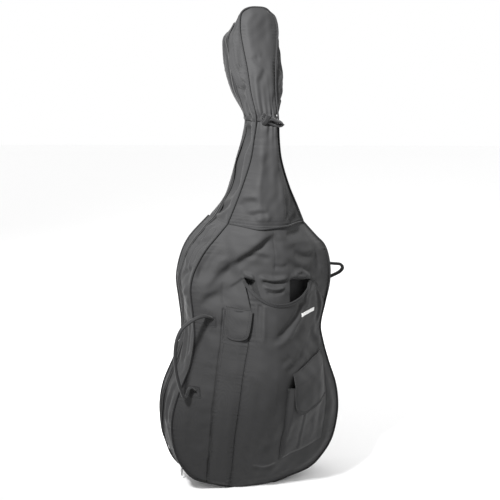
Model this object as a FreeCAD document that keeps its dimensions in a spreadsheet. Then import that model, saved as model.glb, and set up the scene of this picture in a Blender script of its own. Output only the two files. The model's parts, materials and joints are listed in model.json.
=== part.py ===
"""Double bass in its padded gig bag.  Frame: +X to the viewer's right, +Y backwards, +Z up, millimetres.
The origin is the middle of the flat patch of the bag's base; the front seam lies in the plane y = -100."""
import FreeCAD, Part
import math
import os
import Sketcher
from FreeCAD import Vector, Placement, Rotation

doc = FreeCAD.newDocument("bagged_bass")

# ---------------------------------------------------------------- driving dimensions
DIMENSIONS = {
    # bag
    "bag_front_y": -100.0, "bag_back_y": 100.0, "bag_wall": 9.0, "seam_gap": 0.4,
    "yoke_z": 1070.0, "ridge_half": 55.0, "base_half": 80.0,
    "piping_size": 7.0, "pocket_depth": 20.0, "cover_wall": 3.0, "rim_width": 7.0,
    "accessory_depth": 40.0, "flap_wall": 3.0, "webbing_wall": 4.0, "webbing_width": 25.0,
    "zip_share": 0.7, "zip_tape_width": 30.0, "zip_coil_width": 6.0,
    "tie_z": 1470.0, "tie_width": 15.0, "tie_wall": 3.0, "endpin_hole": 34.0,
    # instrument
    "plate_wall": 6.0, "top_y": -94.0, "back_plate_y": 82.0, "body_foot_z": 42.0, "body_len": 1090.0,
    "rib_wall": 3.0, "rib_inset": 6.0, "arch_rise": 35.0, "nut_z": 1560.0, "bridge_z": 500.0,
    "nut_y": -72.0, "bridge_top_y": -292.0, "glue_gap": 0.2, "neck_width": 42.0,
    "board_end_z": 710.0, "board_wall": 16.0, "pegbox_half": 32.0, "pegbox_tilt": 20.0,
    "roller_radius": 7.0, "gear_radius": 17.0, "worm_radius": 6.0, "rod_radius": 5.0, "rod_len": 420.0,
    "post_radius": 9.0, "post_x": 52.0,
}
sheet = doc.addObject("Spreadsheet::Sheet", "Dimensions")
for row, (alias, size) in enumerate(DIMENSIONS.items(), start=1):
    sheet.set(f"A{row}", alias)
    sheet.set(f"B{row}", str(size))
    sheet.setAlias(f"B{row}", alias)
doc.recompute()


def dim(alias):
    """A driving dimension, read back from the sheet."""
    return float(sheet.get(alias))


FRONT = dim("bag_front_y")
BACK = dim("bag_back_y")
WALL = dim("bag_wall")
GAP = dim("seam_gap")
nodes = []


def keep(obj, label):
    """Names a finished sub-part and lists it for export."""
    obj.Label = label
    nodes.append(obj)
    return obj


def feature(label, shape):
    """A sub-part whose shape is built with Part's own functions."""
    obj = doc.addObject("Part::Feature", label)
    obj.Shape = shape
    return keep(obj, label)


# ---------------------------------------------------------------- the bag's form
# height: reach of the front seam to the left and right, the same for the back seam, rise of the front ridge
BODY_FORM = [
    (0, 80, 80, 76, 76, 9), (20, 150, 150, 140, 140, 19), (50, 238, 243, 218, 222, 33),
    (100, 290, 300, 268, 276, 60), (160, 322, 338, 303, 314, 93), (230, 340, 356, 323, 333, 130),
    (310, 343, 361, 330, 340, 170), (400, 322, 346, 316, 328, 202), (500, 280, 308, 275, 292, 218),
    (580, 264, 281, 250, 268, 206), (650, 262, 266, 248, 256, 193), (740, 273, 281, 261, 270, 174),
    (820, 283, 296, 273, 284, 157), (880, 273, 296, 267, 284, 144), (940, 245, 283, 250, 272, 131),
    (980, 218, 263, 229, 252, 123), (1010, 192, 231, 205, 222, 117), (1070, 140, 171, 146, 160, 104),
]
# height: front seam to the left and right, back seam to the left and right, rise of the front, then how far
# the front seam and the back seam stand behind the body's front seam
NECK_FORM = [
    (1070, 140, 171, 146, 160, 104, 0, 198), (1140, 114, 136, 90, 130, 82, -5, 198),
    (1210, 91, 100, 76, 100, 64, -10, 168), (1310, 64, 61, 62, 72, 44, -18, 140),
    (1390, 55, 45, 49, 58, 30, -24, 120), (1470, 51, 37, 50, 60, 22, -28, 104),
    (1560, 61, 39, 80, 118, 20, 10, 170), (1650, 63, 52, 98, 130, 18, 54, 210),
    (1730, 69, 68, 103, 122, 16, 92, 228), (1768, 72, 76, 100, 110, 15, 108, 228),
    (1792, 74, 79, 84, 98, 15, 114, 212), (1830, 74, 74, 66, 84, 14, 119, 178),
    (1870, 56, 53, 58, 55, 12, 123, 145), (1888, 42, 34, 38, 32, 9, 125, 132),
]
LEFT, RIGHT = -1, 1
FRONT_COLUMN, BACK_COLUMN = {LEFT: 1, RIGHT: 2}, {LEFT: 3, RIGHT: 4}
RISE_COLUMN, SEAM_COLUMN, REAR_COLUMN = 5, 6, 7


def form_at(table, z, column):
    """Smooth reading of a form table: cubic Hermite with finite-difference slopes."""
    rows = [(r[0], r[column]) for r in table]
    z = min(max(z, rows[0][0]), rows[-1][0])
    i = max(k for k in range(len(rows) - 1) if rows[k][0] <= z)

    def slope(k):
        lo, hi = max(k - 1, 0), min(k + 1, len(rows) - 1)
        return (rows[hi][1] - rows[lo][1]) / (rows[hi][0] - rows[lo][0])

    (z0, v0), (z1, v1) = rows[i], rows[i + 1]
    span = z1 - z0
    t = (z - z0) / span
    h00, h10 = 2 * t**3 - 3 * t**2 + 1, t**3 - 2 * t**2 + t
    h01, h11 = -2 * t**3 + 3 * t**2, t**3 - t**2
    return h00 * v0 + h10 * span * slope(i) + h01 * v1 + h11 * span * slope(i + 1)


def stations(table, low, high, step=40.0):
    """Heights of the sections between low and high: the table's own rows, none further than step apart."""
    marks = [low] + [r[0] for r in table if low + 5 < r[0] < high - 5] + [high]
    found = []
    for a, b in zip(marks, marks[1:]):
        n = max(1, math.ceil((b - a) / step))
        found += [a + (b - a) * k / n for k in range(n)]
    return found + [high]


def half_width(z, side):
    """Reach of the body's front seam on the given side."""
    return form_at(BODY_FORM, z, FRONT_COLUMN[side])


def back_scale(z, side):
    """The back seam's reach as a share of the front seam's."""
    return form_at(BODY_FORM, z, BACK_COLUMN[side]) / half_width(z, side)


def ridge(z):
    return form_at(BODY_FORM, z, RISE_COLUMN)


def ridge_half(width):
    return min(dim("ridge_half"), 0.55 * width)


def wire(points):
    return Part.makePolygon([*points, points[0]])


def level(z, corners):
    """Closed outline of straight runs through (x, y) corners at height z."""
    return wire([Vector(x, y, z) for x, y in corners])


def tent(z, widths, seam, rise, shift=0.0):
    """The four corners of the front surface at height z, moved forward by shift."""
    left, right = widths
    y = FRONT + seam - shift
    corners = [(-left, y), (-ridge_half(left), y - rise), (ridge_half(right), y - rise), (right, y)]
    return [Vector(x, y, z) for x, y in corners]


def front_section(z, widths, seam, rise):
    """Closed section of the padded front at height z, with flat rims on the seam plane."""
    t = min(WALL, 0.6 * rise)
    left, right = [w - t * (w - ridge_half(w)) / rise for w in widths]
    y = FRONT + seam
    inner = [Vector(right, y, z), Vector(ridge_half(widths[1]), y - rise + t, z),
             Vector(-ridge_half(widths[0]), y - rise + t, z), Vector(-left, y, z)]
    return wire(tent(z, widths, seam, rise) + inner)


def body_widths(z):
    return half_width(z, LEFT), half_width(z, RIGHT)


def surface_y(x, z):
    """y of the body's front surface at x, z."""
    w = half_width(z, LEFT if x < 0 else RIGHT)
    c = ridge_half(w)
    share = min(1.0, max(0.0, (w - abs(x)) / (w - c)))
    return FRONT - ridge(z) * share


def loft(wires):
    return Part.makeLoft(wires, True, True)


def prism(points, y0, y1):
    """The outline (x, z) drawn as straight runs, from y0 to y1."""
    face = Part.Face(wire([Vector(x, y0, z) for x, z in points]))
    return face.extrude(Vector(0, y1 - y0, 0))


def layer(near, far, low=0.0, high=None):
    """The sheet of space between the front surface moved forward by near and by far."""
    high = dim("yoke_z") if high is None else high
    wires = []
    for z in stations(BODY_FORM, low, high):
        widths, rise = body_widths(z), ridge(z)
        wires.append(wire(tent(z, widths, 0, rise, far) + tent(z, widths, 0, rise, near)[::-1]))
    return loft(wires)


# ---------------------------------------------------------------- bands that follow the body's outline
def outline(side, z_top, z_foot=0.0):
    """Points (x, z) of one side of the body's outline, from z_top down to z_foot."""
    rows = [r[0] for r in BODY_FORM if z_foot < r[0] < z_top]
    return [(side * half_width(z, side), z) for z in [z_top, *reversed(rows), z_foot]]


def offset(points, distance):
    """The points moved by distance along the normal that points away from the bag's middle."""
    moved = []
    for i, (x, z) in enumerate(points):
        (xa, za), (xb, zb) = points[max(i - 1, 0)], points[min(i + 1, len(points) - 1)]
        tx, tz = xb - xa, zb - za
        size = math.hypot(tx, tz)
        nx, nz = -tz / size, tx / size
        if nx * x < 0:
            nx, nz = -nx, -nz
        moved.append((x + nx * distance, z + nz * distance))
    return moved


def at_depth(points, y):
    """The outline at depth y, drawn in evenly from the front seam to the back seam."""
    depth = (y - FRONT) / (BACK - FRONT)
    found = []
    for x, z in points:
        scale = 1 + (back_scale(z, LEFT if x < 0 else RIGHT) - 1) * depth
        found.append(Vector(x * scale, y, z))
    return found


def spline(points):
    curve = Part.BSplineCurve()
    curve.interpolate(points)
    return curve.toShape()


def band_wire(points, near, far, y):
    a, b = at_depth(offset(points, far), y), at_depth(offset(points, near), y)[::-1]
    return Part.Wire([spline(a), Part.makeLine(a[-1], b[0]), spline(b), Part.makeLine(b[-1], a[0])])


def band(points, near, far, y0, y1):
    """A strip along the outline, from near to far outside it and from y0 to y1."""
    return loft([band_wire(points, near, far, y0), band_wire(points, near, far, y1)])


BODY_TOP = dim("yoke_z") - GAP


def side_gusset(label, side):
    return feature(label, band(outline(side, BODY_TOP), -WALL, 0, FRONT + GAP, BACK - WALL - GAP))


def base_gusset():
    """The flat patch that the bag stands on, with the hole that the endpin goes through."""
    half = dim("base_half") - WALL / 2
    ends = [(-half, 0), (half, 0)]
    front, back = at_depth(ends, FRONT + GAP), at_depth(ends, BACK - WALL - GAP)
    patch = Part.Face(wire(front + back[::-1])).extrude(Vector(0, 0, WALL))
    hole = Part.makeCylinder(dim("endpin_hole") / 2, 3 * WALL, Vector(0, 0, -WALL))
    return feature("base_gusset", patch.cut(hole))


def back_panel():
    """Padded back, drawn as a sketch on the XZ plane and padded to its wall."""
    body = doc.addObject("PartDesign::Body", "BackPanel")
    sketch = xz_sketch(body, "BackOutline")
    right, left = [[(p.x, p.z) for p in at_depth(outline(side, BODY_TOP), BACK)] for side in (RIGHT, LEFT)]
    closed_spline_outline(sketch, right, left[::-1])
    pad = body.newObject("PartDesign::Pad", "BackPad")
    pad.Profile = sketch
    pad.setExpression("Length", "Dimensions.bag_wall")
    pad.Reversed = True
    body.Placement = Placement(Vector(0, BACK - WALL, 0), Rotation())
    return keep(body, "back_panel")


def xz_sketch(body, name):
    """A sketch on the body's own XZ plane: sketch x is row X, sketch y is row Z."""
    sketch = body.newObject("Sketcher::SketchObject", name)
    plane = next(o for o in body.Origin.OriginFeatures if o.Role == "XZ_Plane")
    sketch.AttachmentSupport = [(plane, "")]
    sketch.MapMode = "FlatFace"
    return sketch


def closed_spline_outline(sketch, right_side, left_side):
    """Draws a closed outline down the points of its right side and up those of its left."""
    add_spline(sketch, right_side)
    sketch.addGeometry(Part.LineSegment(Vector(*right_side[-1], 0), Vector(*left_side[0], 0)))
    add_spline(sketch, left_side)
    sketch.addGeometry(Part.LineSegment(Vector(*left_side[-1], 0), Vector(*right_side[0], 0)))


def add_spline(sketch, points):
    curve = Part.BSplineCurve()
    curve.interpolate([Vector(x, z, 0) for x, z in points])
    sketch.addGeometry(curve)


def front_panel():
    zs = stations(BODY_FORM, 0.0, BODY_TOP)
    return feature("front_panel", loft([front_section(z, body_widths(z), 0, ridge(z)) for z in zs]))


# ---------------------------------------------------------------- neck and hood of the bag
def neck(z, column):
    return form_at(NECK_FORM, z, column)


def neck_widths(z):
    return neck(z, FRONT_COLUMN[LEFT]), neck(z, FRONT_COLUMN[RIGHT])


def neck_seam_y(z):
    return FRONT + neck(z, SEAM_COLUMN)


NECK_FOOT = dim("yoke_z") + GAP
NECK_TOP = NECK_FORM[-1][0]


def neck_front_panel():
    zs = stations(NECK_FORM, NECK_FOOT, NECK_TOP)
    wires = [front_section(z, neck_widths(z), neck(z, SEAM_COLUMN), neck(z, RISE_COLUMN)) for z in zs]
    return feature("neck_front_panel", loft(wires))


def neck_back_y(z):
    """y of the inside of the neck's back panel."""
    return FRONT + max(neck(z, REAR_COLUMN) - WALL, neck(z, SEAM_COLUMN) + 3 * GAP)


def neck_gusset(label, side):
    """The side of the neck and hood, from the front seam to the back seam."""
    wires = []
    for z in stations(NECK_FORM, NECK_FOOT, NECK_TOP):
        y0, y1 = neck_seam_y(z) + GAP, neck_back_y(z) - GAP
        w0, w1 = side * neck(z, FRONT_COLUMN[side]), side * neck(z, BACK_COLUMN[side])
        t = side * WALL
        wires.append(level(z, [(w0, y0), (w1, y1), (w1 - t, y1), (w0 - t, y0)]))
    return feature(label, loft(wires))


def neck_back_panel():
    """The back of the neck and hood, which turns forward over the crown."""
    wires = []
    for z in stations(NECK_FORM, NECK_FOOT, NECK_TOP):
        left, right, y = -neck(z, BACK_COLUMN[LEFT]), neck(z, BACK_COLUMN[RIGHT]), neck_back_y(z)
        wires.append(level(z, [(left, y), (right, y), (right, y + WALL), (left, y + WALL)]))
    return feature("neck_back_panel", loft(wires))


# ---------------------------------------------------------------- piping along the seams
def body_piping(y0, y1):
    """Corded edge along both sides of the body."""
    near = 4.6
    far = near + dim("piping_size")
    return [band(outline(side, BODY_TOP, 10.0), near, far, y0, y1) for side in (LEFT, RIGHT)]


def front_piping():
    """Corded edge along the whole front seam, up both sides of the body, the neck and the hood."""
    size = dim("piping_size")
    strips = body_piping(FRONT - size, FRONT)
    for side in (-1, 1):
        wires = []
        for z in stations(NECK_FORM, NECK_FOOT, NECK_TOP):
            x, y = side * (neck(z, FRONT_COLUMN[side]) + GAP), neck_seam_y(z)
            out = x + side * size
            wires.append(level(z, [(x, y - size), (out, y - size), (out, y), (x, y)]))
        strips.append(loft(wires))
    return feature("front_piping", Part.makeCompound(strips))


def yoke_piping():
    """The welt across the front where the neck panel meets the body panel."""
    size, z = dim("piping_size"), dim("yoke_z")
    widths, rise, clear = body_widths(z), ridge(z), 3.8
    wires = []
    for height in (z - size / 2, z + size / 2):
        front = tent(height, widths, 0, rise, clear + size)
        wires.append(wire(front + tent(height, widths, 0, rise, clear)[::-1]))
    span = Part.makeBox(sum(widths) - 16, 300, 2 * size, Vector(8 - widths[0], FRONT - 290, z - size))
    return feature("yoke_piping", loft(wires).common(span))


# ---------------------------------------------------------------- zip down the left side
ZIP_FOOT, ZIP_TOP = 60.0, 1830.0


ZIP_Y = FRONT + dim("zip_share") * (BACK - WALL - FRONT)


def zip_strip(label, half, near, far):
    """One layer of the zip: along the body's outline, then up the left of the neck and hood."""
    low = band(outline(-1, BODY_TOP, ZIP_FOOT), near, far, ZIP_Y - half, ZIP_Y + half)
    wires = []
    for z in stations(NECK_FORM, NECK_FOOT, ZIP_TOP):
        y0, y1 = neck_seam_y(z), neck_back_y(z)
        w0, w1 = neck(z, FRONT_COLUMN[LEFT]), neck(z, BACK_COLUMN[LEFT])
        share = [dim("zip_share") + k * half / (y1 - y0) for k in (-1, 1)]
        skin = [(w0 + (w1 - w0) * s, y0 + (y1 - y0) * s) for s in share]
        (xa, ya), (xb, yb) = skin
        wires.append(wire([Vector(-xa - near, ya, z), Vector(-xb - near, yb, z),
                           Vector(-xb - far, yb, z), Vector(-xa - far, ya, z)]))
    return feature(label, Part.makeCompound([low, loft(wires)]))


def zip_frame(z):
    """Point on the left outline at height z with its tangent (downwards) and outward normal."""
    here, below = half_width(z, LEFT), half_width(z - 10, LEFT)
    tangent = Vector(-(below - here), 0, -10).normalize()
    normal = Vector(-1, 0, 0)
    normal = (normal - tangent * normal.dot(tangent)).normalize()
    scale = 1 + (back_scale(z, LEFT) - 1) * (ZIP_Y - FRONT) / (BACK - FRONT)
    return Vector(-here * scale, ZIP_Y, z), tangent, normal


SLIDER_Z = 66.0
PIN_LIFT = 12.4
RUN_GAP = 0.08


def zip_placement():
    point, tangent, normal = zip_frame(SLIDER_Z)
    side = normal.cross(tangent)
    matrix = FreeCAD.Matrix(tangent.x, side.x, normal.x, point.x, tangent.y, side.y, normal.y, point.y,
                            tangent.z, side.z, normal.z, point.z, 0, 0, 0, 1)
    return Placement(matrix)


def zip_slider():
    """Slider body with the bridge that its pull hangs on. Local x runs down the zip, local z outwards."""
    body = Part.makeBox(17, 11, 4, Vector(-8.5, -5.5, 6.2))
    body = body.makeFillet(1.2, body.Edges)
    bridge = Part.makeBox(10, 3, 5, Vector(-5, -1.5, 10.0))
    bridge = bridge.cut(Part.makeCylinder(0.9 + RUN_GAP, 8, Vector(0, -4, PIN_LIFT), Vector(0, 1, 0)))
    shape = body.fuse(bridge).removeSplitter()
    obj = feature("zip_slider", shape)
    obj.Placement = zip_placement()
    return obj


def zip_pull():
    """Pull tab on a cross pin in the slider's bridge. Local x runs down, local y along the pin."""
    pin = Part.makeCylinder(0.9, 9, Vector(0, -4.5, 0), Vector(0, 1, 0))
    arms = [Part.makeBox(12, 1.6, 2, Vector(0, y, -1)) for y in (-4.4, 2.8)]
    tab = Part.makeBox(30, 8.8, 2, Vector(12, -4.4, -1))
    obj = feature("zip_pull", tab.fuse([pin, *arms]).removeSplitter())
    slider = zip_placement()
    obj.Placement = frame_placement(slider.multVec(Vector(0, 0, PIN_LIFT)), Vector(0, 0, -1),
                                    slider.Rotation.multVec(Vector(0, 1, 0)))
    return obj


def frame_placement(origin, x_axis, y_hint):
    """Placement with local x along x_axis and local y as near y_hint as it can be."""
    x = Vector(x_axis).normalize()
    y = Vector(y_hint)
    y = (y - x * y.dot(x)).normalize()
    z = x.cross(y)
    return Placement(FreeCAD.Matrix(x.x, y.x, z.x, origin.x, x.y, y.y, z.y, origin.y,
                                    x.z, y.z, z.z, origin.z, 0, 0, 0, 1))


# ---------------------------------------------------------------- pockets on the front
def curve_points(points, count):
    """Evenly spread points of the smooth curve through the given (x, z) points."""
    curve = Part.BSplineCurve()
    curve.interpolate([Vector(x, 0, z) for x, z in points])
    return [(p.x, p.z) for p in curve.toShape().discretize(count)]


MOUTH = [(-106, 876), (-95, 855), (-71, 825), (-36, 800), (8, 787), (60, 789), (111, 803), (152, 826),
         (175, 853)]
MOUTH_TO_EDGE = [(212, 842), (256, 785)]
POCKET_INSET = 18.0
MUSIC_LEFT = [(-97, 45), (-124, 288), (-119, 478), (-97, 637), (-88, 762)]
BOW_LEFT = [(-192, 60), (-209, 364), (-187, 541), (-177, 622), (-171, 765)]
BOW_MOUTH_Z = 757.0
FLAP_CORNER = 34.0


def edge_inset(z_top, z_foot, step=45.0):
    """The bag's right edge, moved inwards, from z_top down to z_foot."""
    n = math.ceil((z_top - z_foot) / step)
    zs = [z_top + (z_foot - z_top) * k / n for k in range(n + 1)]
    return [(half_width(z, RIGHT) - POCKET_INSET, z) for z in zs]


def music_outline():
    return curve_points(MOUTH, 17) + MOUTH_TO_EDGE + edge_inset(735, 48) + MUSIC_LEFT


def rim(points, width):
    """A narrow prism outline along an open run of (x, z) points, width wide on its left side."""
    inner = []
    for i, (x, z) in enumerate(points):
        (xa, za), (xb, zb) = points[max(i - 1, 0)], points[min(i + 1, len(points) - 1)]
        tx, tz = xb - xa, zb - za
        size = math.hypot(tx, tz)
        inner.append((x + tz / size * width, z - tx / size * width))
    return points + inner[::-1]


def pocket(label, cover_outline, seam_run, foot, depth):
    """A cover that stands depth off the sheet below it, closed along the seam run by a rim."""
    wall = dim("cover_wall")
    far = FRONT - 400
    cover = layer(foot + depth, foot + depth + wall).common(prism(cover_outline, far, FRONT))
    rim_prism = prism(rim(seam_run, dim("rim_width")), far, FRONT)
    edge = layer(foot + GAP, foot + depth + wall / 2).common(rim_prism)
    return feature(label, cover.fuse(edge).removeSplitter())


def music_pocket():
    """Large sheet-music pocket with a curved open mouth."""
    seam = [MOUTH[-1]] + MOUTH_TO_EDGE + edge_inset(735, 48) + MUSIC_LEFT + [MOUTH[0]]
    return pocket("music_pocket", music_outline(), seam, 0, dim("pocket_depth"))


def mouth_binding():
    """Bound edge along the curved mouth."""
    upper = curve_points(MOUTH, 17)
    lower = [(x, z - 13) for x, z in upper]
    depth = dim("pocket_depth") + dim("cover_wall")
    shape = layer(depth + GAP, depth + GAP + 2).common(prism(upper + lower[::-1], FRONT - 400, FRONT))
    return feature("mouth_binding", shape)


def bow_pocket():
    """Long quiver for the bow, open at its top."""
    right = [(x - 5, z) for x, z in MUSIC_LEFT[:-1]] + [(-93.5, BOW_MOUTH_Z)]
    left = [p for p in BOW_LEFT if p[1] < BOW_MOUTH_Z] + [(-171.5, BOW_MOUTH_Z)]
    right[0] = (right[0][0], BOW_LEFT[0][1])
    cover = left + right[::-1]
    seam = right[::-1] + left
    return pocket("bow_pocket", cover, seam, 0, dim("pocket_depth"))


def rounded_flap(left, right, low, high, radius):
    """Flap outline with its two lower corners rounded."""
    arcs = []
    for cx, start in ((left + radius, 180), (right - radius, 270)):
        for k in range(7):
            a = math.radians(start + 15 * k)
            arcs.append((cx + radius * math.cos(a), low + radius + radius * math.sin(a)))
    return [(left, high)] + arcs + [(right, high)]


BOW_FLAP = (-177.0, -83.0, 650.0, 770.0)
FLAP_LIFT = dim("pocket_depth") + dim("cover_wall") + 2.0


def flap(label, points, lift):
    wall = dim("flap_wall")
    return feature(label, layer(lift, lift + wall).common(prism(points, FRONT - 420, FRONT)))


ACCESSORY = [(50, 395), (57, 288), (68, 185), (76, 131), (129, 143), (182, 154), (235, 170), (280, 184),
             (284, 300), (278, 395)]
ACCESSORY_MOUTH = [(270, 505), (48, 466)]
ACCESSORY_FLAP = [(40, 532), (52, 440), (65, 404), (95, 370), (128, 357), (266, 392), (262, 572), (228, 569)]


def accessory_pocket():
    """Deep bellows pocket low on the right, on top of the music pocket."""
    foot = dim("pocket_depth") + dim("cover_wall")
    outline_points = ACCESSORY + ACCESSORY_MOUTH
    seam = [ACCESSORY_MOUTH[1]] + ACCESSORY + [ACCESSORY_MOUTH[0]]
    return pocket("accessory_pocket", outline_points, seam[::-1], foot, dim("accessory_depth"))


def accessory_flap():
    lift = dim("pocket_depth") + 2 * dim("cover_wall") + dim("accessory_depth") + 4.5
    return flap("accessory_flap", ACCESSORY_FLAP, lift)


def maker_label():
    """Small blank woven label on the music pocket."""
    lift = dim("pocket_depth") + dim("cover_wall") + GAP
    points = [(117, 724), (200, 729), (200, 744), (117, 739)]
    return feature("blank_label", layer(lift, lift + 1.2).common(prism(points, FRONT - 400, FRONT)))


# ---------------------------------------------------------------- webbing handles
def strap_loop(label, root_gap, reach, apex_share, placement):
    """A strap folded into a loop: local x runs from root to root, local y out to the apex."""
    body = doc.addObject("PartDesign::Body", label + "_body")
    sketch = body.newObject("Sketcher::SketchObject", label + "_sketch")
    plane = next(o for o in body.Origin.OriginFeatures if o.Role == "XY_Plane")
    sketch.AttachmentSupport = [(plane, "")]
    sketch.MapMode = "FlatFace"
    t = dim("webbing_wall")
    apex = root_gap * apex_share
    outer = [(0, 0), (root_gap * 0.02, reach * 0.45), (apex - 18, reach * 0.97), (apex, reach),
             (apex + 18, reach * 0.97), (root_gap * 0.93, reach * 0.45), (root_gap, 0)]
    inner = [(x, y) for x, y in loop_offset(outer, t)]
    for run in (outer, inner):
        curve = Part.BSplineCurve()
        curve.interpolate([Vector(x, y, 0) for x, y in run])
        sketch.addGeometry(curve)
    sketch.addGeometry(Part.LineSegment(Vector(*outer[-1], 0), Vector(*inner[-1], 0)))
    sketch.addGeometry(Part.LineSegment(Vector(*inner[0], 0), Vector(*outer[0], 0)))
    pad = body.newObject("PartDesign::Pad", label + "_pad")
    pad.Profile = sketch
    pad.setExpression("Length", "Dimensions.webbing_width")
    pad.Midplane = True
    body.Placement = placement
    return keep(body, label)


def loop_offset(points, distance):
    """The points moved by distance towards the inside of the loop."""
    moved = []
    for i, (x, y) in enumerate(points):
        (xa, ya), (xb, yb) = points[max(i - 1, 0)], points[min(i + 1, len(points) - 1)]
        tx, ty = xb - xa, yb - ya
        size = math.hypot(tx, ty)
        moved.append((x + ty / size * distance, y - tx / size * distance))
    moved[0], moved[-1] = (distance, 0), (points[-1][0] - distance, 0)
    return moved


LEFT_ROOTS = [(-222.0, 712.0), (-270.0, 425.0)]
RIGHT_ROOTS = (890.0, 806.0)
ROOT_LIFT = 14.0


def left_root(k):
    x, z = LEFT_ROOTS[k]
    return Vector(x, surface_y(x, z) - ROOT_LIFT, z)


def left_handle():
    a, b = left_root(0), left_root(1)
    place = frame_placement(a, b - a, Vector(-1, -0.16, 0))
    return strap_loop("left_handle", (b - a).Length, 108.0, 0.46, place)


def right_root(z):
    return Vector(half_width(z, RIGHT) * (1 + back_scale(z, RIGHT)) / 2 + ROOT_LIFT - 1, 0, z)


def right_handle():
    a, b = right_root(RIGHT_ROOTS[0]), right_root(RIGHT_ROOTS[1])
    place = frame_placement(a, b - a, Vector(1, 0, 0))
    return strap_loop("right_handle", (b - a).Length, 104.0, 0.36, place)


def handle_patches():
    """Webbing patches sewn under each end of the handles."""
    patches = []
    for x, z in LEFT_ROOTS:
        points = [(x - 14, z - 20), (x + 22, z - 20), (x + 22, z + 20), (x - 14, z + 20)]
        patches.append(layer(GAP, 2.4).common(prism(points, FRONT - 300, FRONT - 1)))
    for z in RIGHT_ROOTS:
        run = [(half_width(h, RIGHT), h) for h in (z + 16, z, z - 16)]
        patches.append(band(run, 1.4, 3.4, -20, 20))
    feature("handle_patches", Part.makeCompound(patches))


# ---------------------------------------------------------------- tie round the neck
def tie_outline(z, grow):
    left, right = neck_widths(z)
    back_left, back_right = neck(z, BACK_COLUMN[LEFT]) + grow, neck(z, BACK_COLUMN[RIGHT]) + grow
    y0, y1 = neck_seam_y(z) - 0.5 * grow, FRONT + neck(z, REAR_COLUMN) + grow
    crest = y0 - neck(z, RISE_COLUMN) - 0.6 * grow
    return [Vector(-left - grow, y0, z), Vector(-ridge_half(left) - 0.3 * grow, crest, z),
            Vector(ridge_half(right) + 0.3 * grow, crest, z), Vector(right + grow, y0, z),
            Vector(back_right, y1, z), Vector(-back_left, y1, z)]


def neck_tie():
    """Strap drawn tight round the neck just under the pegbox."""
    z, wide, wall = dim("tie_z"), dim("tie_width"), dim("tie_wall")
    clear = dim("piping_size") + 2.5
    solids = []
    for grow in (clear + wall, clear):
        face = Part.Face(wire(tie_outline(z - wide / 2, grow)))
        solids.append(face.extrude(Vector(0, 0, wide)))
    return feature("neck_tie", solids[0].cut(solids[1]))


def tie_knot():
    """The knot and the one bow loop that the tie ends in, on the right of the front."""
    z, clear = dim("tie_z"), dim("piping_size") + dim("tie_wall") + 6.5
    y = neck_seam_y(z) - neck(z, RISE_COLUMN) - clear
    knot = Part.makeBox(34, 16, 32, Vector(-32, y - 17, z - 14))
    knot = knot.makeFillet(6, knot.Edges)
    loop = Part.makeBox(56, 12, 26, Vector(-2, y - 15, z - 24))
    loop = loop.makeFillet(4, loop.Edges)
    return feature("tie_bow", knot.fuse(loop).removeSplitter())


# ---------------------------------------------------------------- the instrument: body
FOOT = dim("body_foot_z")
LOWER_BOUT = [(0, 0), (100, 8), (188, 38), (252, 90), (301, 165), (317, 255), (306, 340), (264, 425)]
WAIST = [(264, 425), (218, 470), (190, 535), (183, 605), (193, 670), (232, 742)]
UPPER_BOUT = [(232, 742), (247, 800), (244, 865), (210, 925), (150, 985), (100, 1030), (66, 1060),
              (40, 1090)]
BOUTS = (LOWER_BOUT, WAIST, UPPER_BOUT)


def bouts(inset):
    """The three runs of the right side, moved inwards by inset."""
    runs = []
    for run in BOUTS:
        moved = offset([(x, z + FOOT) for x, z in run], -inset)
        runs.append(moved)
    if inset:
        runs[0][0] = (0, FOOT + inset)
        runs[-1][-1] = (40 - 0.2 * inset, FOOT + 1090 - inset)
        for a, b in ((0, 1), (1, 2)):
            middle = [(p + q) / 2 for p, q in zip(runs[a][-1], runs[b][0])]
            runs[a][-1] = runs[b][0] = tuple(middle)
    return runs


def bass_wire(inset, y):
    edges = []
    for side in (1, -1):
        for run in bouts(inset):
            edges.append(spline([Vector(side * x, y, z) for x, z in run]))
    top_x, top_z = bouts(inset)[-1][-1]
    edges.append(Part.makeLine(Vector(top_x, y, top_z), Vector(-top_x, y, top_z)))
    return Part.Wire(Part.__sortEdges__(edges))


def bass_prism(inset, y0, y1):
    return Part.Face(bass_wire(inset, y0)).extrude(Vector(0, y1 - y0, 0))


def arch(minor):
    """Torus whose crown stands arch_rise in front of the plate, with the given cross-arch radius."""
    cross_radius, long_radius = 406.0, 3310.0
    crown = dim("top_y") - dim("arch_rise")
    centre = Vector(0, crown + long_radius, FOOT + 560)
    return Part.makeTorus(long_radius - cross_radius, minor, centre, Vector(1, 0, 0))


def f_hole(side):
    """Slanted slot between two round eyes."""
    y0, depth = dim("top_y") - 60, 90
    upper, lower = (side * 92, FOOT + 560), (side * 128, FOOT + 405)
    eyes = [Part.makeCylinder(r, depth, Vector(x, y0, z), Vector(0, 1, 0))
            for r, (x, z) in ((11, upper), (14, lower))]
    corners = [(x + shift, z) for (x, z), shift in ((upper, -6), (lower, -6), (lower, 6), (upper, 6))]
    slot = prism(corners, y0, y0 + depth)
    return eyes[0].fuse([eyes[1], slot])


def top_plate():
    y, wall = dim("top_y"), dim("plate_wall")
    plate = bass_prism(0, y, y + wall)
    room = Part.makeBox(400, 50, 1000, Vector(-200, y - 50, FOOT + 60))
    low_room = Part.makeBox(400, 80, 1000, Vector(-200, y - 50, FOOT + 60))
    dome, hollow = arch(406.0).common(room), arch(406.0 - wall).common(low_room)
    shape = plate.fuse(dome).cut(hollow)
    for side in (-1, 1):
        shape = shape.cut(f_hole(side))
    return feature("top_plate", shape)


def back_plate():
    y = dim("back_plate_y")
    return feature("back_plate", bass_prism(0, y, y + dim("plate_wall")))


RIB_FRONT = dim("top_y") + dim("plate_wall") + dim("glue_gap")
RIB_BACK = dim("back_plate_y") - dim("glue_gap")


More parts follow.
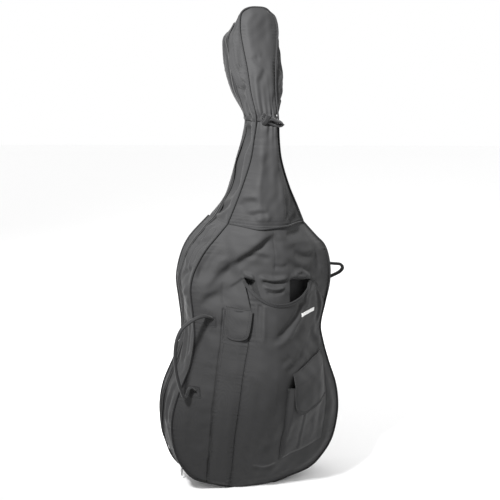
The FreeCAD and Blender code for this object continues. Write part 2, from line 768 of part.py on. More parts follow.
def ribs():
    inset = dim("rib_inset")
    room = bass_prism(inset + dim("rib_wall"), RIB_FRONT - 1, RIB_BACK + 1)
    ring = bass_prism(inset, RIB_FRONT, RIB_BACK).cut(room)
    hole = Part.makeCylinder(13.5, 40, Vector(0, 0, FOOT - 10))
    return feature("ribs", ring.cut(hole))


def box(label, size, corner):
    """A Part::Box whose three sizes are expressions or numbers, with its low corner given."""
    obj = doc.addObject("Part::Box", label)
    for name, value in zip(("Length", "Width", "Height"), size):
        if isinstance(value, str):
            obj.setExpression(name, value)
        else:
            setattr(obj, name, value)
    obj.Placement = Placement(Vector(*corner), Rotation())
    return obj


def cylinder(label, radius, height, base, axis):
    obj = doc.addObject("Part::Cylinder", label)
    for name, value in (("Radius", radius), ("Height", height)):
        if isinstance(value, str):
            obj.setExpression(name, value)
        else:
            setattr(obj, name, value)
    obj.Placement = Placement(Vector(*base), Rotation(Vector(0, 0, 1), Vector(*axis)))
    return obj


def cut(label, base, *tools):
    tool = tools[0]
    if len(tools) > 1:
        tool = doc.addObject("Part::MultiFuse", label + "_tools")
        tool.Shapes = list(tools)
    obj = doc.addObject("Part::Cut", label)
    obj.Base, obj.Tool = base, tool
    return keep(obj, label)


def fuse(label, *shapes):
    obj = doc.addObject("Part::MultiFuse", label)
    obj.Shapes = list(shapes)
    return keep(obj, label)


BLOCK_DEPTH = RIB_BACK - RIB_FRONT - 2 * dim("glue_gap")
INNER = dim("rib_inset") + dim("rib_wall") + 1.0


def blocks():
    """Bottom block, bored for the endpin's plug, and the top block behind the neck."""
    y = RIB_FRONT + dim("glue_gap")
    low = box("bottom_block_blank", (130, BLOCK_DEPTH, 34), (-65, y, FOOT + INNER + 4))
    bore = cylinder("bottom_block_bore", 13.5, 60, (0, 0, FOOT), (0, 0, 1))
    cut("bottom_block", low, bore)
    keep(box("top_block", (64, BLOCK_DEPTH, 50), (-32, y, FOOT + dim("body_len") - 62)), "top_block")


def bass_bar():
    """Long brace under the low strings, planed to the inside of the top."""
    half, middle, steps = 380.0, FOOT + 560, 8
    crown = dim("top_y") - dim("arch_rise") + dim("plate_wall") + 5.2
    marks = [half * (2 * k / steps - 1) for k in range(steps + 1)]
    top = [(crown + z * z / (2 * 3304.0), middle + z) for z in marks]
    under = [(crown + 26, middle + 0.8 * half), (crown + 26, middle - 0.8 * half)]
    bar = yz_prism(top + under, 7)
    bar.translate(Vector(-55, 0, 0))
    return feature("bass_bar", bar)


def sound_post():
    """Round post wedged between the top, behind the bridge's treble foot, and the back."""
    x, z = dim("post_x"), dim("bridge_z") - 20
    top_inside = dim("top_y") - dim("arch_rise") + dim("plate_wall")
    sag = 400.0 - math.sqrt(400.0**2 - (x + dim("post_radius"))**2) + 2.6
    start = top_inside + sag
    post = cylinder("sound_post", "Dimensions.post_radius", RIB_BACK - start, (x, start, z), (0, 1, 0))
    return keep(post, "sound_post")


# ---------------------------------------------------------------- the instrument: neck, board and strings
NUT = Vector(0, dim("nut_y"), dim("nut_z"))
SADDLE_TOP = Vector(0, dim("bridge_top_y"), dim("bridge_z"))
STRING_LINE = (SADDLE_TOP - NUT).normalize()
TILT = math.radians(dim("pegbox_tilt"))
BODY_END = FOOT + dim("body_len")


def string_y(z):
    """y of the plane of the strings at height z."""
    return NUT.y + (z - NUT.z) * (SADDLE_TOP.y - NUT.y) / (SADDLE_TOP.z - NUT.z)


def yz_prism(points, half):
    """Outline (y, z) from x = -half to x = half."""
    face = Part.Face(wire([Vector(-half, y, z) for y, z in points]))
    return face.extrude(Vector(2 * half, 0, 0))


BOARD_CLEAR = 7.0


def board_top(z):
    return string_y(z) + BOARD_CLEAR


def fingerboard():
    """Long ebony board, wider and thicker towards the bridge, with a rounded playing face."""
    wires = []
    for z, half in ((dim("board_end_z"), 44.0), (NUT.z - 6, 21.5)):
        y, wall = board_top(z), dim("board_wall")
        crown = 0.14 * half
        arc = Part.Arc(Vector(-half, y + crown, z), Vector(0, y, z), Vector(half, y + crown, z)).toShape()
        corners = ((half, crown), (half, wall), (-half, wall), (-half, crown))
        p = [Vector(x, y + back, z) for x, back in corners]
        wires.append(Part.Wire([arc] + [Part.makeLine(a, b) for a, b in zip(p, p[1:])]))
    return feature("fingerboard", loft(wires))


def pegbox_frame():
    """Local x along row X, local y towards the back of the pegbox, local z up along it."""
    up = Vector(0, math.sin(TILT), math.cos(TILT))
    back = Vector(0, math.cos(TILT), -math.sin(TILT))
    origin = Vector(0, NUT.y + 10, NUT.z)
    return Placement(FreeCAD.Matrix(1, 0, 0, origin.x, 0, back.y, up.y, origin.y,
                                    0, back.z, up.z, origin.z, 0, 0, 0, 1))


PEGBOX = pegbox_frame()
PEGBOX_LEN, PEGBOX_DEPTH, CHEEK = 190.0, 62.0, 11.0
ROLLER_ROWS = (34.0, 68.0, 102.0, 136.0)


def in_pegbox(shape):
    shape.Placement = PEGBOX
    return shape.copy()


def x_cylinder(radius, x0, x1, y, z):
    """Round bar along local x from x0 to x1."""
    return Part.makeCylinder(radius, abs(x1 - x0), Vector(min(x0, x1), y, z), Vector(1, 0, 0))


def neck_part():
    """Neck with its heel, the pegbox open at the front, and the scroll, carved in one piece."""
    gap = dim("glue_gap")
    half = dim("neck_width") / 2
    under = [board_top(z) + dim("board_wall") + gap for z in (BODY_END + 1, NUT.z)]
    heel_y = dim("back_plate_y") - 6
    shaft = yz_prism([(under[0], BODY_END + 1), (under[1], NUT.z), (under[1] + 30, NUT.z + 12),
                      (under[1] + 26, NUT.z - 40), (under[0] + 42, BODY_END + 150),
                      (under[0] + 92, BODY_END + 70), (heel_y, BODY_END + 22), (heel_y, BODY_END + 1)], half)
    shaft = shaft.makeFillet(9, [e for e in shaft.Edges if abs(e.Vertexes[0].X - e.Vertexes[-1].X) < 0.1
                                 and e.BoundBox.YMin > under[1] + 20 and e.BoundBox.ZMax < NUT.z - 30])
    hw = dim("pegbox_half")
    block = Part.makeBox(2 * hw, PEGBOX_DEPTH, PEGBOX_LEN, Vector(-hw, 0, 8))
    well = Part.makeBox(2 * (hw - CHEEK), PEGBOX_DEPTH - 12, PEGBOX_LEN - 18, Vector(-hw + CHEEK, -1, 10))
    throat = Part.makeBox(2 * (hw - CHEEK), 8, 4, Vector(-hw + CHEEK, -1, 7))
    block = block.cut([well, throat])
    for row in ROLLER_ROWS:
        block = block.cut(x_cylinder(dim("roller_radius") + RUN_GAP, -2 * hw, 2 * hw, 26, row))
    turns = ((40, 20, 28), (23, 34, 31), (10, 44, 33))
    scroll = [x_cylinder(r, -out, out, 34, PEGBOX_LEN + up) for r, out, up in turns]
    head = in_pegbox(block.fuse(scroll))
    return feature("neck", shaft.fuse(head).removeSplitter())


def nut():
    return keep(box("nut_blank", (46, 20.4, 8), (-23, NUT.y + 1.6, NUT.z - 5)), "nut")


STRING_NAMES = ("e", "a", "d", "g")
STRING_RADII = (1.4, 1.15, 0.9, 0.75)
NUT_SPREAD = (-16.5, -5.5, 5.5, 16.5)
BRIDGE_SPREAD = (-39.0, -13.0, 13.0, 39.0)
BRIDGE_DROP = (9.0, 0.0, 0.0, 9.0)
TAIL_SPREAD = (-24.0, -8.0, 8.0, 24.0)


def swept_rod(points, radius):
    """Round rod along straight runs with mitred corners."""
    spine = Part.makePolygon(points)
    end = Part.Wire(Part.makeCircle(radius, points[0], points[1] - points[0]))
    return spine.makePipeShell([end], True, False, 1)


def string(k):
    """One string: from its roller, over the nut, to the bridge and down to the tailpiece."""
    r = STRING_RADII[k]
    row = ROLLER_ROWS[(0, 2, 3, 1)[k]]
    roller_top = PEGBOX.multVec(Vector(NUT_SPREAD[k] * 0.8, 26 - dim("roller_radius") - r - 0.6, row))
    over_nut = Vector(NUT_SPREAD[k], NUT.y, NUT.z - 1)
    over_bridge = Vector(BRIDGE_SPREAD[k], SADDLE_TOP.y + BRIDGE_DROP[k] - r, SADDLE_TOP.z)
    tail = Vector(TAIL_SPREAD[k], TAIL_TOP_Y - 1.0, TAIL_TOP_Z + 4)
    return feature("string_" + STRING_NAMES[k], swept_rod([roller_top, over_nut, over_bridge, tail], r))


def bridge():
    """Bridge cut from one blank: two feet, an arch between them and a heart-shaped opening."""
    body = doc.addObject("PartDesign::Body", "BridgeBody")
    sketch = body.newObject("Sketcher::SketchObject", "BridgeOutline")
    plane = next(o for o in body.Origin.OriginFeatures if o.Role == "XY_Plane")
    sketch.AttachmentSupport = [(plane, "")]
    sketch.MapMode = "FlatFace"
    crown_y = dim("top_y") - dim("arch_rise")
    tall = crown_y - dim("bridge_top_y") - 0.2
    right = [(30, 0.2), (82, -7), (84, 6), (62, 22), (52, 66), (60, 92), (50, 124), (46, tall - 12.3),
             (39, tall - 9.2), (13, tall)]
    left = [(-x, y) for x, y in right][::-1]
    loop = [(0, 24)] + right + left
    for a, b in zip(loop, loop[1:] + loop[:1]):
        sketch.addGeometry(Part.LineSegment(Vector(*a, 0), Vector(*b, 0)))
    sketch.addGeometry(Part.Circle(Vector(0, 95, 0), Vector(0, 0, 1), 13))
    pad = body.newObject("PartDesign::Pad", "BridgePad")
    pad.Profile = sketch
    pad.Length = 18
    pad.Midplane = True
    z, foot, top = dim("bridge_z"), crown_y + 8, dim("bridge_top_y")
    body.Placement = Placement(FreeCAD.Matrix(1, 0, 0, 0, 0, -1, 0, crown_y, 0, 0, -1, z, 0, 0, 0, 1))
    taper = doc.addObject("Part::Feature", "bridge_taper")
    taper.Shape = yz_prism([(foot, z - 9), (foot, z + 9), (top, z + 2.5), (top, z - 2.5)], 90)
    thinned = doc.addObject("Part::Common", "bridge")
    thinned.Base, thinned.Tool = body, taper
    return keep(thinned, "bridge")


TAIL_TOP_Z, TAIL_TOP_Y, TAIL_FOOT_Z, TAIL_FOOT_Y = 330.0, -208.0, 92.0, -124.0


def tailpiece():
    """Tapered board that holds the lower ends of the strings."""
    wires = []
    for z, y, half in ((TAIL_TOP_Z, TAIL_TOP_Y, 36.0), (TAIL_FOOT_Z, TAIL_FOOT_Y, 20.0)):
        wires.append(level(z, [(-half, y + 3), (0, y), (half, y + 3), (half, y + 15), (-half, y + 15)]))
    return feature("tailpiece", loft(wires))


def saddle():
    """Small ebony rest in the lower edge of the top, where the tail wire turns over."""
    return keep(box("saddle", (50, 10, 14), (-25, dim("top_y") - 10.5, FOOT + 2)), "saddle")


def tail_wire():
    """Wire from the tailpiece over the saddle to the endpin's plug."""
    y_top = dim("top_y") - 14.5
    legs = []
    for x in (-11, 11):
        runs = [(x, TAIL_FOOT_Y + 8, TAIL_FOOT_Z - 2.6), (x, y_top, FOOT + 18), (x, y_top, FOOT - 6),
                (0.45 * x, -24, FOOT - 14)]
        legs.append(swept_rod([Vector(*point) for point in runs], 2.0))
    return feature("tail_wire", Part.makeCompound(legs))


# ---------------------------------------------------------------- the instrument: endpin
def endpin_plug():
    """Turned plug in the bottom block, bored for the rod and tapped for the clamp screw."""
    body = doc.addObject("PartDesign::Body", "PlugBody")
    sketch = xz_sketch(body, "PlugProfile")
    bore = dim("rod_radius") + 0.08
    profile = [(bore, FOOT - 20), (19, FOOT - 20), (22, FOOT - 14), (22, FOOT - 8), (17, FOOT - 2),
               (13, FOOT + 1), (12, FOOT + 52), (bore, FOOT + 52)]
    for a, b in zip(profile, profile[1:] + profile[:1]):
        sketch.addGeometry(Part.LineSegment(Vector(*a, 0), Vector(*b, 0)))
    turn = body.newObject("PartDesign::Revolution", "PlugTurn")
    turn.Profile = sketch
    turn.ReferenceAxis = (sketch, ["V_Axis"])
    turn.Angle = 360
    doc.recompute()
    hole = Part.makeCylinder(3.0, 30, Vector(0, dim("rod_radius"), FOOT - 11), Vector(0, 1, 0))
    tapped = doc.addObject("Part::Feature", "endpin_plug")
    tapped.Shape = body.Shape.cut(hole)
    return keep(tapped, "endpin_plug")


def endpin():
    """Steel rod, its rubber tip and the thumb screw that clamps it."""
    foot = (0, 0, FOOT - 24)
    rod = cylinder("endpin_rod", "Dimensions.rod_radius", "Dimensions.rod_len", foot, (0, 0, 1))
    keep(rod, "endpin_rod")
    tip = Part.makeCylinder(9, 9, Vector(0, 0, 11)).fuse(Part.makeCone(9, 7, 2.0, Vector(0, 0, 20)))
    tip = tip.cut(Part.makeCylinder(5.05, 12, Vector(0, 0, FOOT - 24.05)))
    feature("endpin_tip", tip.removeSplitter())
    y = dim("rod_radius") + 0.3
    shank = Part.makeCylinder(3.0 - RUN_GAP, 24, Vector(0, y, FOOT - 11), Vector(0, 1, 0))
    wing = Part.makeBox(22, 3, 9, Vector(-11, y + 22, FOOT - 15.5))
    wing = wing.makeFillet(1.2, wing.Edges)
    feature("endpin_screw", shank.fuse(wing).removeSplitter())


# ---------------------------------------------------------------- the instrument: tuning machines
MACHINE_SIDES = (-1, -1, 1, 1)
MACHINE_ROWS = (ROLLER_ROWS[0], ROLLER_ROWS[2], ROLLER_ROWS[3], ROLLER_ROWS[1])
GEAR_X = dim("pegbox_half") + 6.9
GEAR_WALL = 4.0
WORM_X = GEAR_X + GEAR_WALL / 2
WORM_RISE = dim("gear_radius") + dim("worm_radius") + 0.4
WORM_SHAFT = 3.5


def machine_plates():
    """Brass side plates on the pegbox's cheeks, with the lugs that carry the worms."""
    plates = []
    for side in (-1, 1):
        x = min(side * (dim("pegbox_half") + 0.2), side * (dim("pegbox_half") + 2.2))
        plate = Part.makeBox(2, 46, 160, Vector(x, 6, 12))
        for row in ROLLER_ROWS:
            plate = plate.cut(x_cylinder(dim("roller_radius") + RUN_GAP, x - 2, x + 4, 26, row))
        for own_side, row in zip(MACHINE_SIDES, MACHINE_ROWS):
            if own_side != side:
                continue
            low = min(side * (dim("pegbox_half") + 2.1), side * (WORM_X + 6))
            wide = abs(WORM_X + 6 - dim("pegbox_half") - 2.1)
            for y in (10, 37):
                plate = plate.fuse(Part.makeBox(wide, 5, 14, Vector(low, y, row + WORM_RISE - 7)))
            start = Vector(side * WORM_X, 5, row + WORM_RISE)
            plate = plate.cut(Part.makeCylinder(WORM_SHAFT + RUN_GAP, 60, start, Vector(0, 1, 0)))
        plates.append(in_pegbox(plate.removeSplitter()))
    feature("machine_plates", Part.makeCompound(plates))


def roller(k):
    """String roller through both cheeks, with its toothed wheel outside the plate."""
    hw, side, row = dim("pegbox_half"), MACHINE_SIDES[k], MACHINE_ROWS[k]
    shaft = x_cylinder(dim("roller_radius"), -side * (hw + 2.5), side * (GEAR_X + GEAR_WALL), 26, row)
    tip, root, teeth = dim("gear_radius"), dim("gear_radius") - 2.0, 20
    points = []
    for n in range(teeth):
        for share, radius in ((-0.30, root), (-0.14, tip), (0.14, tip), (0.30, root)):
            a = 2 * math.pi * (n + share) / teeth
            points.append(Vector(0, 26 + radius * math.cos(a), row + radius * math.sin(a)))
    gear = Part.Face(wire(points)).extrude(Vector(GEAR_WALL, 0, 0))
    gear.translate(Vector(min(side * GEAR_X, side * (GEAR_X + GEAR_WALL)), 0, 0))
    return feature("roller_" + STRING_NAMES[k], in_pegbox(shaft.fuse(gear).removeSplitter()))


def tuning_key(k):
    """Worm over the wheel's rim, its shaft running back past the cheek, and the ear that the hand turns."""
    x, z = MACHINE_SIDES[k] * WORM_X, MACHINE_ROWS[k] + WORM_RISE
    worm = Part.makeCylinder(dim("worm_radius"), 21, Vector(x, 15.5, z), Vector(0, 1, 0))
    shaft = Part.makeCylinder(WORM_SHAFT, 66, Vector(x, 8, z), Vector(0, 1, 0))
    ear = Part.makeCylinder(13, 5, Vector(x - 2.5, 84, z), Vector(1, 0, 0))
    return feature("key_" + STRING_NAMES[k], in_pegbox(worm.fuse([shaft, ear]).removeSplitter()))


# ---------------------------------------------------------------- build, check, export
def build():
    front_panel()
    side_gusset("left_gusset", -1)
    side_gusset("right_gusset", 1)
    base_gusset()
    back_panel()
    neck_front_panel()
    neck_gusset("neck_left_gusset", -1)
    neck_gusset("neck_right_gusset", 1)
    neck_back_panel()
    front_piping()
    feature("back_piping", Part.makeCompound(body_piping(BACK - 7, BACK)))
    yoke_piping()
    zip_strip("zip_tape", dim("zip_tape_width") / 2, 1.0, 2.2)
    zip_strip("zip_coil", dim("zip_coil_width") / 2, 3.2, 5.2)
    zip_slider()
    zip_pull()
    music_pocket()
    mouth_binding()
    bow_pocket()
    flap("bow_flap", rounded_flap(*BOW_FLAP, FLAP_CORNER), FLAP_LIFT)
    accessory_pocket()
    accessory_flap()
    maker_label()
    left_handle()
    right_handle()
    handle_patches()
    neck_tie()
    tie_knot()
    top_plate()
    back_plate()
    ribs()
    blocks()
    bass_bar()
    sound_post()
    neck_part()
    fingerboard()
    nut()
    bridge()
    tailpiece()
    saddle()
    tail_wire()
    for k in range(len(STRING_NAMES)):
        string(k)
        roller(k)
        tuning_key(k)
    machine_plates()
    endpin_plug()
    endpin()


def export():
    """Writes every sub-part, after making sure that each one is sound."""
    doc.recompute()
    for obj in doc.Objects:
        if {"Invalid", "Error"} & set(obj.State):
            raise RuntimeError(f"{obj.Name} failed: {obj.State}")
    os.makedirs("parts", exist_ok=True)
    for obj in nodes:
        shape = obj.Shape
        if shape.isNull() or not shape.isValid() or not shape.Solids:
            raise RuntimeError(f"{obj.Label} is not a sound solid")
        shape.exportStep(f"parts/{obj.Label}.step")
        print(f"{obj.Label:22s} {len(shape.Solids)} solids {shape.Volume / 1000:9.1f} cm3 {shape.BoundBox}")
    print(len(nodes), "nodes")


build()
export()
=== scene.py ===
"""The looks of a double bass standing in its padded gig bag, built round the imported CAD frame.
Everything is in metres in the frame's own axes: +X to the right, +Y to the back, +Z up."""

import bpy
import json
import math
import numpy as np
from mathutils import Matrix, Vector


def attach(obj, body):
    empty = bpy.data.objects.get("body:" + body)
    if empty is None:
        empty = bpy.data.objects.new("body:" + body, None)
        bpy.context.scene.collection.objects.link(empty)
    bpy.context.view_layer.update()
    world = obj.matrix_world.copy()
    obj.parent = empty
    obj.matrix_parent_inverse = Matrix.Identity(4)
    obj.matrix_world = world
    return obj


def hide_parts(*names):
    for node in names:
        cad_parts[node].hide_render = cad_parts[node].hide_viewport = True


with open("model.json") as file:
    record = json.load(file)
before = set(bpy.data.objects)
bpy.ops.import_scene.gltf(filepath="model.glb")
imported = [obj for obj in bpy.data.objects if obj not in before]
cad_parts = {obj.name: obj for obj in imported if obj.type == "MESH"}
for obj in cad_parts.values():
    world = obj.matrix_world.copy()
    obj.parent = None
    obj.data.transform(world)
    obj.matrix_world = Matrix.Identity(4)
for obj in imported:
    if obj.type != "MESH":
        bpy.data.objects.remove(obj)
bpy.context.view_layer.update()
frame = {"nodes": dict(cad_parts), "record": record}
ROOT = "bagged_bass"
SEED = 7


# ================================================================ numbers and curves
def smooth(t):
    """0 to 1 with level ends."""
    t = np.clip(t, 0.0, 1.0)
    return t * t * (3 - 2 * t)


def bell(d, width):
    return np.exp(-(d / width) ** 2)


def soft_min(a, b, k):
    """The smaller of a and b, with the corner between them rounded over k."""
    h = np.clip(k - np.abs(a - b), 0, None) / k
    return np.minimum(a, b) - h * h * k / 4


def catmull(points, step):
    """Evenly stepped points on the smooth curve through the given points."""
    p = np.array(points, float)
    p = np.vstack([2 * p[0] - p[1], p, 2 * p[-1] - p[-2]])
    fine = []
    for a, b, c, d in zip(p, p[1:], p[2:], p[3:]):
        t = np.linspace(0, 1, 24, endpoint=False)[:, None]
        fine.append(0.5 * (2 * b + (c - a) * t + (2 * a - 5 * b + 4 * c - d) * t**2 + (3 * b - a - 3 * c + d) * t**3))
    return even(np.vstack(fine + [p[-2][None]]), step)


def even(points, step):
    """The polyline resampled at an even step."""
    p = np.asarray(points, float)
    s = np.concatenate([[0], np.cumsum(np.linalg.norm(np.diff(p, axis=0), axis=1))])
    n = max(2, int(round(s[-1] / step)) + 1)
    marks = np.linspace(0, s[-1], n)
    return np.stack([np.interp(marks, s, p[:, k]) for k in range(p.shape[1])], axis=1)


def lengths(points):
    """Running length along a polyline."""
    return np.concatenate([[0], np.cumsum(np.linalg.norm(np.diff(points, axis=0), axis=1))])


class Noise:
    """Smooth seeded noise in two directions: a sum of waves with random slopes and phases."""

    def __init__(self, seed, scale, waves=14):
        rng = np.random.default_rng(seed)
        angle = rng.uniform(0, 2 * math.pi, waves)
        size = 2 * math.pi / (scale * rng.uniform(0.6, 1.8, waves))
        self.kx, self.kz = size * np.cos(angle), size * np.sin(angle)
        self.phase = rng.uniform(0, 2 * math.pi, waves)
        self.gain = math.sqrt(2 / waves)

    def __call__(self, x, z):
        total = 0
        for kx, kz, phase in zip(self.kx, self.kz, self.phase):
            total = total + np.sin(kx * x + kz * z + phase)
        return total * self.gain


# ================================================================ the form of the bag
# height: reach of the front seam to the left and right, the same for the back seam, rise of the front's ridge
BODY_FORM = [
    (0, .080, .080, .076, .076, .009), (.02, .150, .150, .140, .140, .019), (.05, .238, .243, .218, .222, .033),
    (.1, .290, .300, .268, .276, .060), (.16, .322, .338, .303, .314, .093), (.23, .340, .356, .323, .333, .130),
    (.31, .343, .361, .330, .340, .170), (.4, .322, .346, .316, .328, .202), (.5, .280, .308, .275, .292, .218),
    (.58, .264, .281, .250, .268, .206), (.65, .262, .266, .248, .256, .193), (.74, .273, .281, .261, .270, .174),
    (.82, .283, .296, .273, .284, .157), (.88, .273, .296, .267, .284, .144), (.94, .245, .283, .250, .272, .131),
    (.98, .218, .263, .229, .252, .123), (1.01, .192, .231, .205, .222, .117), (1.07, .140, .171, .146, .160, .104),
]
# height: front seam to the left and right, back seam to the left and right, rise of the front, y of the two seams
NECK_FORM = [
    (1.07, .140, .171, .146, .160, .104, -.100, .098), (1.14, .114, .136, .090, .130, .082, -.105, .098),
    (1.21, .091, .100, .076, .100, .064, -.110, .068), (1.31, .064, .061, .062, .072, .044, -.118, .040),
    (1.39, .055, .045, .049, .058, .030, -.124, .020), (1.47, .051, .037, .050, .060, .022, -.128, .004),
    (1.56, .061, .039, .080, .118, .020, -.090, .070), (1.65, .063, .052, .098, .130, .018, -.046, .110),
    (1.73, .069, .068, .103, .122, .016, -.008, .128), (1.768, .072, .076, .100, .110, .015, .008, .128),
    (1.792, .074, .079, .084, .098, .015, .014, .112), (1.83, .074, .074, .066, .084, .014, .019, .078),
    (1.87, .067, .057, .058, .055, .012, .023, .045), (1.888, .056, .042, .046, .036, .009, .025, .032),
]


def spline(z, zs, values):
    """Smooth reading of values given at heights zs (cubic Hermite)."""
    slope = np.empty(len(zs))
    slope[1:-1] = (values[2:] - values[:-2]) / (zs[2:] - zs[:-2])
    slope[0], slope[-1] = (values[1] - values[0]) / (zs[1] - zs[0]), (values[-1] - values[-2]) / (zs[-1] - zs[-2])
    i = np.clip(np.searchsorted(zs, z, side="right") - 1, 0, len(zs) - 2)
    h = zs[i + 1] - zs[i]
    t = np.clip((z - zs[i]) / h, 0, 1)
    a, b = 2 * t**3 - 3 * t**2 + 1, t**3 - 2 * t**2 + t
    c, d = -2 * t**3 + 3 * t**2, t**3 - t**2
    return a * values[i] + b * h * slope[i] + c * values[i + 1] + d * h * slope[i + 1]


class Form:
    """A form table whose columns are read smoothly by height."""

    def __init__(self, rows, *columns):
        table = np.array(rows, float)
        self.z = table[:, 0]
        self.columns = {name: table[:, k + 1] for k, name in enumerate(columns)}

    def read(self, name, z):
        return spline(z, self.z, self.columns[name])


SIDES = ("left", "right", "back_left", "back_right")
BODY = Form(BODY_FORM, *SIDES, "rise")
NECK = Form(NECK_FORM, *SIDES, "rise", "seam", "back")
FRONT_Y, BACK_Y = -0.100, 0.100
YOKE_Z, TOP_Z = 1.070, 1.888
RIDGE_HALF = 0.055
TIE_Z = 1.470
ARCH = 0.012


def ridge_half(half):
    return np.minimum(RIDGE_HALF, 0.55 * half)


def tent(x, left, right, rise):
    """How far the taut front stands out at x: a ridge over the strings, falling to the seams, with soft edges."""
    half = np.where(x < 0, left, right)
    c = ridge_half(half)
    share = (half - np.abs(x)) / (half - c)
    share = soft_min(share, 1.0, 0.30)
    return rise * np.clip(share, 0, None)


def body_front_y(x, z):
    return FRONT_Y - tent(x, BODY.read("left", z), BODY.read("right", z), BODY.read("rise", z))


def edge_heights():
    """Heights of the rows of the body's outline, close together near the base where it turns under."""
    return np.concatenate([np.linspace(0, 0.03, 16), np.linspace(0.034, YOKE_Z, 260)])


def body_edge(name, sign):
    """One side of the outline as (x, z), from the middle of the base up to the yoke."""
    z = edge_heights()
    return np.vstack([[[0.0, 0.0]], np.stack([sign * BODY.read(name, z), z], axis=1)])


def across(left, right, u):
    """x at share u (-1 to 1) between the two reaches."""
    return np.where(u < 0, left * u, right * u)


# ================================================================ meshes
def mesh_object(name, points, faces):
    mesh = bpy.data.meshes.new(name)
    mesh.from_pydata([tuple(p) for p in points], [], [tuple(int(i) for i in f) for f in faces])
    mesh.update()
    obj = bpy.data.objects.new(name, mesh)
    bpy.context.scene.collection.objects.link(obj)
    mesh.polygons.foreach_set("use_smooth", [True] * len(mesh.polygons))
    return obj


def grid_faces(rows, cols, closed=False, start=0):
    r, c = np.meshgrid(np.arange(rows - 1), np.arange(cols if closed else cols - 1), indexing="ij")
    a, b = r * cols + c, r * cols + (c + 1) % cols
    return np.stack([a, b, b + cols, a + cols], axis=-1).reshape(-1, 4) + start


def normals(p):
    """Unit normals of a grid of points (rows, cols, 3)."""
    n = np.cross(np.gradient(p, axis=1), np.gradient(p, axis=0))
    return n / np.maximum(np.linalg.norm(n, axis=2, keepdims=True), 1e-12)


def cloth(name, p, thickness, outward):
    """A closed sheet of cloth from a grid of points: its outer face, an inner face and an edge all round."""
    n = normals(p)
    middle = n[n.shape[0] // 2, n.shape[1] // 2]
    if np.dot(middle, outward) < 0:
        n = -n
    rows, cols = p.shape[:2]
    inner = p - n * thickness
    points = np.vstack([p.reshape(-1, 3), inner.reshape(-1, 3)])
    count = rows * cols
    front = grid_faces(rows, cols)
    face_normal = np.cross(p[rows // 2, cols // 2 + 1] - p[rows // 2, cols // 2],
                           p[rows // 2 + 1, cols // 2] - p[rows // 2, cols // 2])
    if np.dot(face_normal, outward) < 0:
        front = front[:, ::-1]
    back = front[:, ::-1] + count
    index = np.arange(count).reshape(rows, cols)
    rim = np.concatenate([index[0], index[1:, -1], index[-1, -2::-1], index[-2:0:-1, 0]])
    after = np.roll(rim, -1)
    edge = np.stack([rim, rim + count, after + count, after], axis=1)
    if np.dot(face_normal, outward) < 0:
        edge = edge[:, ::-1]
    return mesh_object(name, points, np.vstack([front, back, edge[:, ::-1]]))


def bored(obj, radius, low, high):
    """Cuts an upright round hole about the z axis through a closed sheet of cloth."""
    ring = circle(radius, 40)
    points = [(x, y, z) for z in (low, high) for x, y in ring]
    walls = [(k, (k + 1) % 40, 40 + (k + 1) % 40, 40 + k) for k in range(40)]
    cutter = mesh_object("cutter", points, walls + [tuple(range(39, -1, -1)), tuple(range(40, 80))])
    cut = obj.modifiers.new("hole", "BOOLEAN")
    cut.object, cut.operation, cut.solver = cutter, "DIFFERENCE", "EXACT"
    view = bpy.context.evaluated_depsgraph_get()
    pierced = bpy.data.meshes.new_from_object(obj.evaluated_get(view))
    obj.modifiers.clear()
    obj.data = pierced
    bpy.data.objects.remove(cutter)


def frames_along(path, up):
    """Tangent, side and up vectors along a path; up is a vector or one per point."""
    t = np.gradient(path, axis=0)
    t /= np.linalg.norm(t, axis=1, keepdims=True)
    u = np.broadcast_to(np.asarray(up, float), path.shape)
    u = u - t * (u * t).sum(1, keepdims=True)
    u = u / np.linalg.norm(u, axis=1, keepdims=True)
    return t, np.cross(t, u), u


def sweep(name, path, profile, up, scale=None):
    """A closed section (side, up) carried along a path, capped at both ends."""
    t, side, u = frames_along(path, up)
    profile = np.asarray(profile, float)
    if scale is None:
        scale = np.ones(len(path))
    ring = side[:, None, :] * profile[None, :, 0:1] + u[:, None, :] * profile[None, :, 1:2]
    points = path[:, None, :] + ring * np.asarray(scale)[:, None, None]
    rows, cols = points.shape[:2]
    faces = [list(f) for f in grid_faces(rows, cols, closed=True)]
    faces += [list(range(cols))[::-1], [(rows - 1) * cols + k for k in range(cols)]]
    return mesh_object(name, points.reshape(-1, 3), faces)


def circle(radius, count=10):
    a = np.linspace(0, 2 * math.pi, count, endpoint=False)
    return np.stack([radius * np.cos(a), radius * np.sin(a)], axis=1)


def strap_profile(width, wall):
    """Flat webbing section with rounded edges and a slightly raised middle."""
    w, h = width / 2, wall / 2
    return [(-w, -h * 0.4), (-w * 0.93, -h), (w * 0.93, -h), (w, -h * 0.4), (w, h * 0.4), (w * 0.93, h),
            (w * 0.45, h * 1.15), (-w * 0.45, h * 1.15), (-w * 0.93, h), (-w, h * 0.4)]


def join(name, objects):
    """Several mesh objects as one."""
    points, faces, base = [], [], 0
    for o in objects:
        count = len(o.data.vertices)
        co = np.zeros(count * 3)
        o.data.vertices.foreach_get("co", co)
        points.append(co.reshape(-1, 3))
        faces += [[i + base for i in f.vertices] for f in o.data.polygons]
        base += count
        bpy.data.objects.remove(o)
    return mesh_object(name, np.vstack(points), faces)


